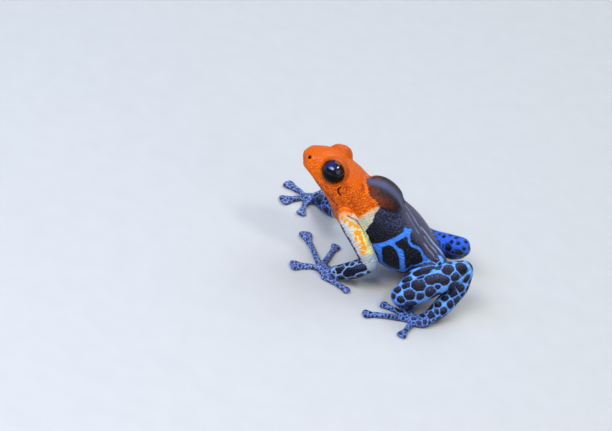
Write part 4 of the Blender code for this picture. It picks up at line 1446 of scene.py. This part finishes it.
def add_eye(side, shift, material):
    """An eyeball with its clear front slightly raised, in place of the plain one."""
    axis = look(side)
    axes = frame_about(axis)
    angles = np.linspace(0, math.pi, EYE_RINGS)
    around = np.arange(EYE_SIDES) * 2 * math.pi / EYE_SIDES
    points = [axis * (EYE_RADIUS + CORNEA_RISE)]
    ring = [0.0]
    for angle in angles[1:-1]:
        raised = EYE_RADIUS + CORNEA_RISE * (1 - smooth_step(angle, 0.5, 1.0))
        circle = np.outer(np.cos(around), axes[0]) + np.outer(np.sin(around), axes[1])
        points += list(raised * (math.sin(angle) * circle + math.cos(angle) * axis))
        ring += [math.sin(angle) if angle < math.pi / 2 else 1.0] * len(around)
    points.append(-axis * EYE_RADIUS)
    ring.append(1.0)
    n = len(around)
    faces = [(0, 1 + j, 1 + (j + 1) % n) for j in range(n)]
    for i in range(len(angles) - 3):
        start = 1 + i * n
        faces += [(start + j, start + n + j, start + n + (j + 1) % n, start + (j + 1) % n)
                  for j in range(n)]
    last = len(points) - 1
    faces += [(last, last - 1 - j, last - 1 - (j + 1) % n) for j in range(n)]
    piece = piece_from(f"eye_ball_{side}", np.array(points) + eye_centre(side), faces, shift)
    # How far each point faces the painted reflection
    facing = unit(points)
    x, y, z = EYE_REFLECTION_WAY
    painted_sheen = facing @ (x, y * SIDES[side], z)
    for name, values in (("ring", ring), ("upper", facing[:, 2]), ("painted_sheen", painted_sheen)):
        keep_values(piece, name, values)
    piece.data.materials.append(material)
    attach(piece, "root")
    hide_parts(f"eye_{side}")


def add_floor():
    """A wide pale floor under the frog."""
    size = FLOOR_REACH
    mesh = bpy.data.meshes.new("floor")
    corners = [(-size, -size, 0), (size, -size, 0), (size, size, 0), (-size, size, 0)]
    mesh.from_pydata(corners, [], [(0, 1, 2, 3)])
    floor = bpy.data.objects.new("floor", mesh)
    floor.data.materials.append(floor_material())
    bpy.context.scene.collection.objects.link(floor)


def add_light(name, place, size, power, colour):
    """A soft square light that faces the frog."""
    data = bpy.data.lights.new(name, "AREA")
    data.size = size
    data.energy = power
    data.color = colour
    light = bpy.data.objects.new(name, data)
    light.location = place
    light.rotation_euler = (Vector(LIGHT_TARGET) - Vector(place)).to_track_quat("-Z", "Y").to_euler()
    bpy.context.scene.collection.objects.link(light)


def add_studio():
    """Soft light from above and both sides."""
    for name, place, size, power, colour in LIGHTS:
        add_light(name, place, size, power, colour)
    world = bpy.data.worlds.new("studio")
    world.use_nodes = True
    world.node_tree.nodes["Background"].inputs["Color"].default_value = (*WORLD_COLOUR, 1.0)
    world.node_tree.nodes["Background"].inputs["Strength"].default_value = WORLD_STRENGTH
    bpy.context.scene.world = world
    bpy.context.scene.view_settings.view_transform = "Standard"


def add_camera(shift):
    """The picture's camera."""
    view = Camera()
    data = bpy.data.cameras.new("camera")
    data.sensor_width = SENSOR_MM
    data.lens = view.focal * SENSOR_MM / PICTURE[0]
    data.clip_start = 0.01
    camera = bpy.data.objects.new("camera", data)
    turn = Matrix((view.right, view.up, view.back)).transposed().to_4x4()
    camera.matrix_world = Matrix.Translation((view.eye + shift) * MM) @ turn
    bpy.context.scene.collection.objects.link(camera)
    bpy.context.scene.camera = camera


low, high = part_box("eye_left")
SHIFT = np.array((low + high) / 2) / MM - eye_centre("left")
add_camera(SHIFT)
add_skin(SHIFT)
EYE_MATERIAL = eye_material()
for each in SIDES:
    add_eye(each, SHIFT, EYE_MATERIAL)
add_floor()
add_studio()
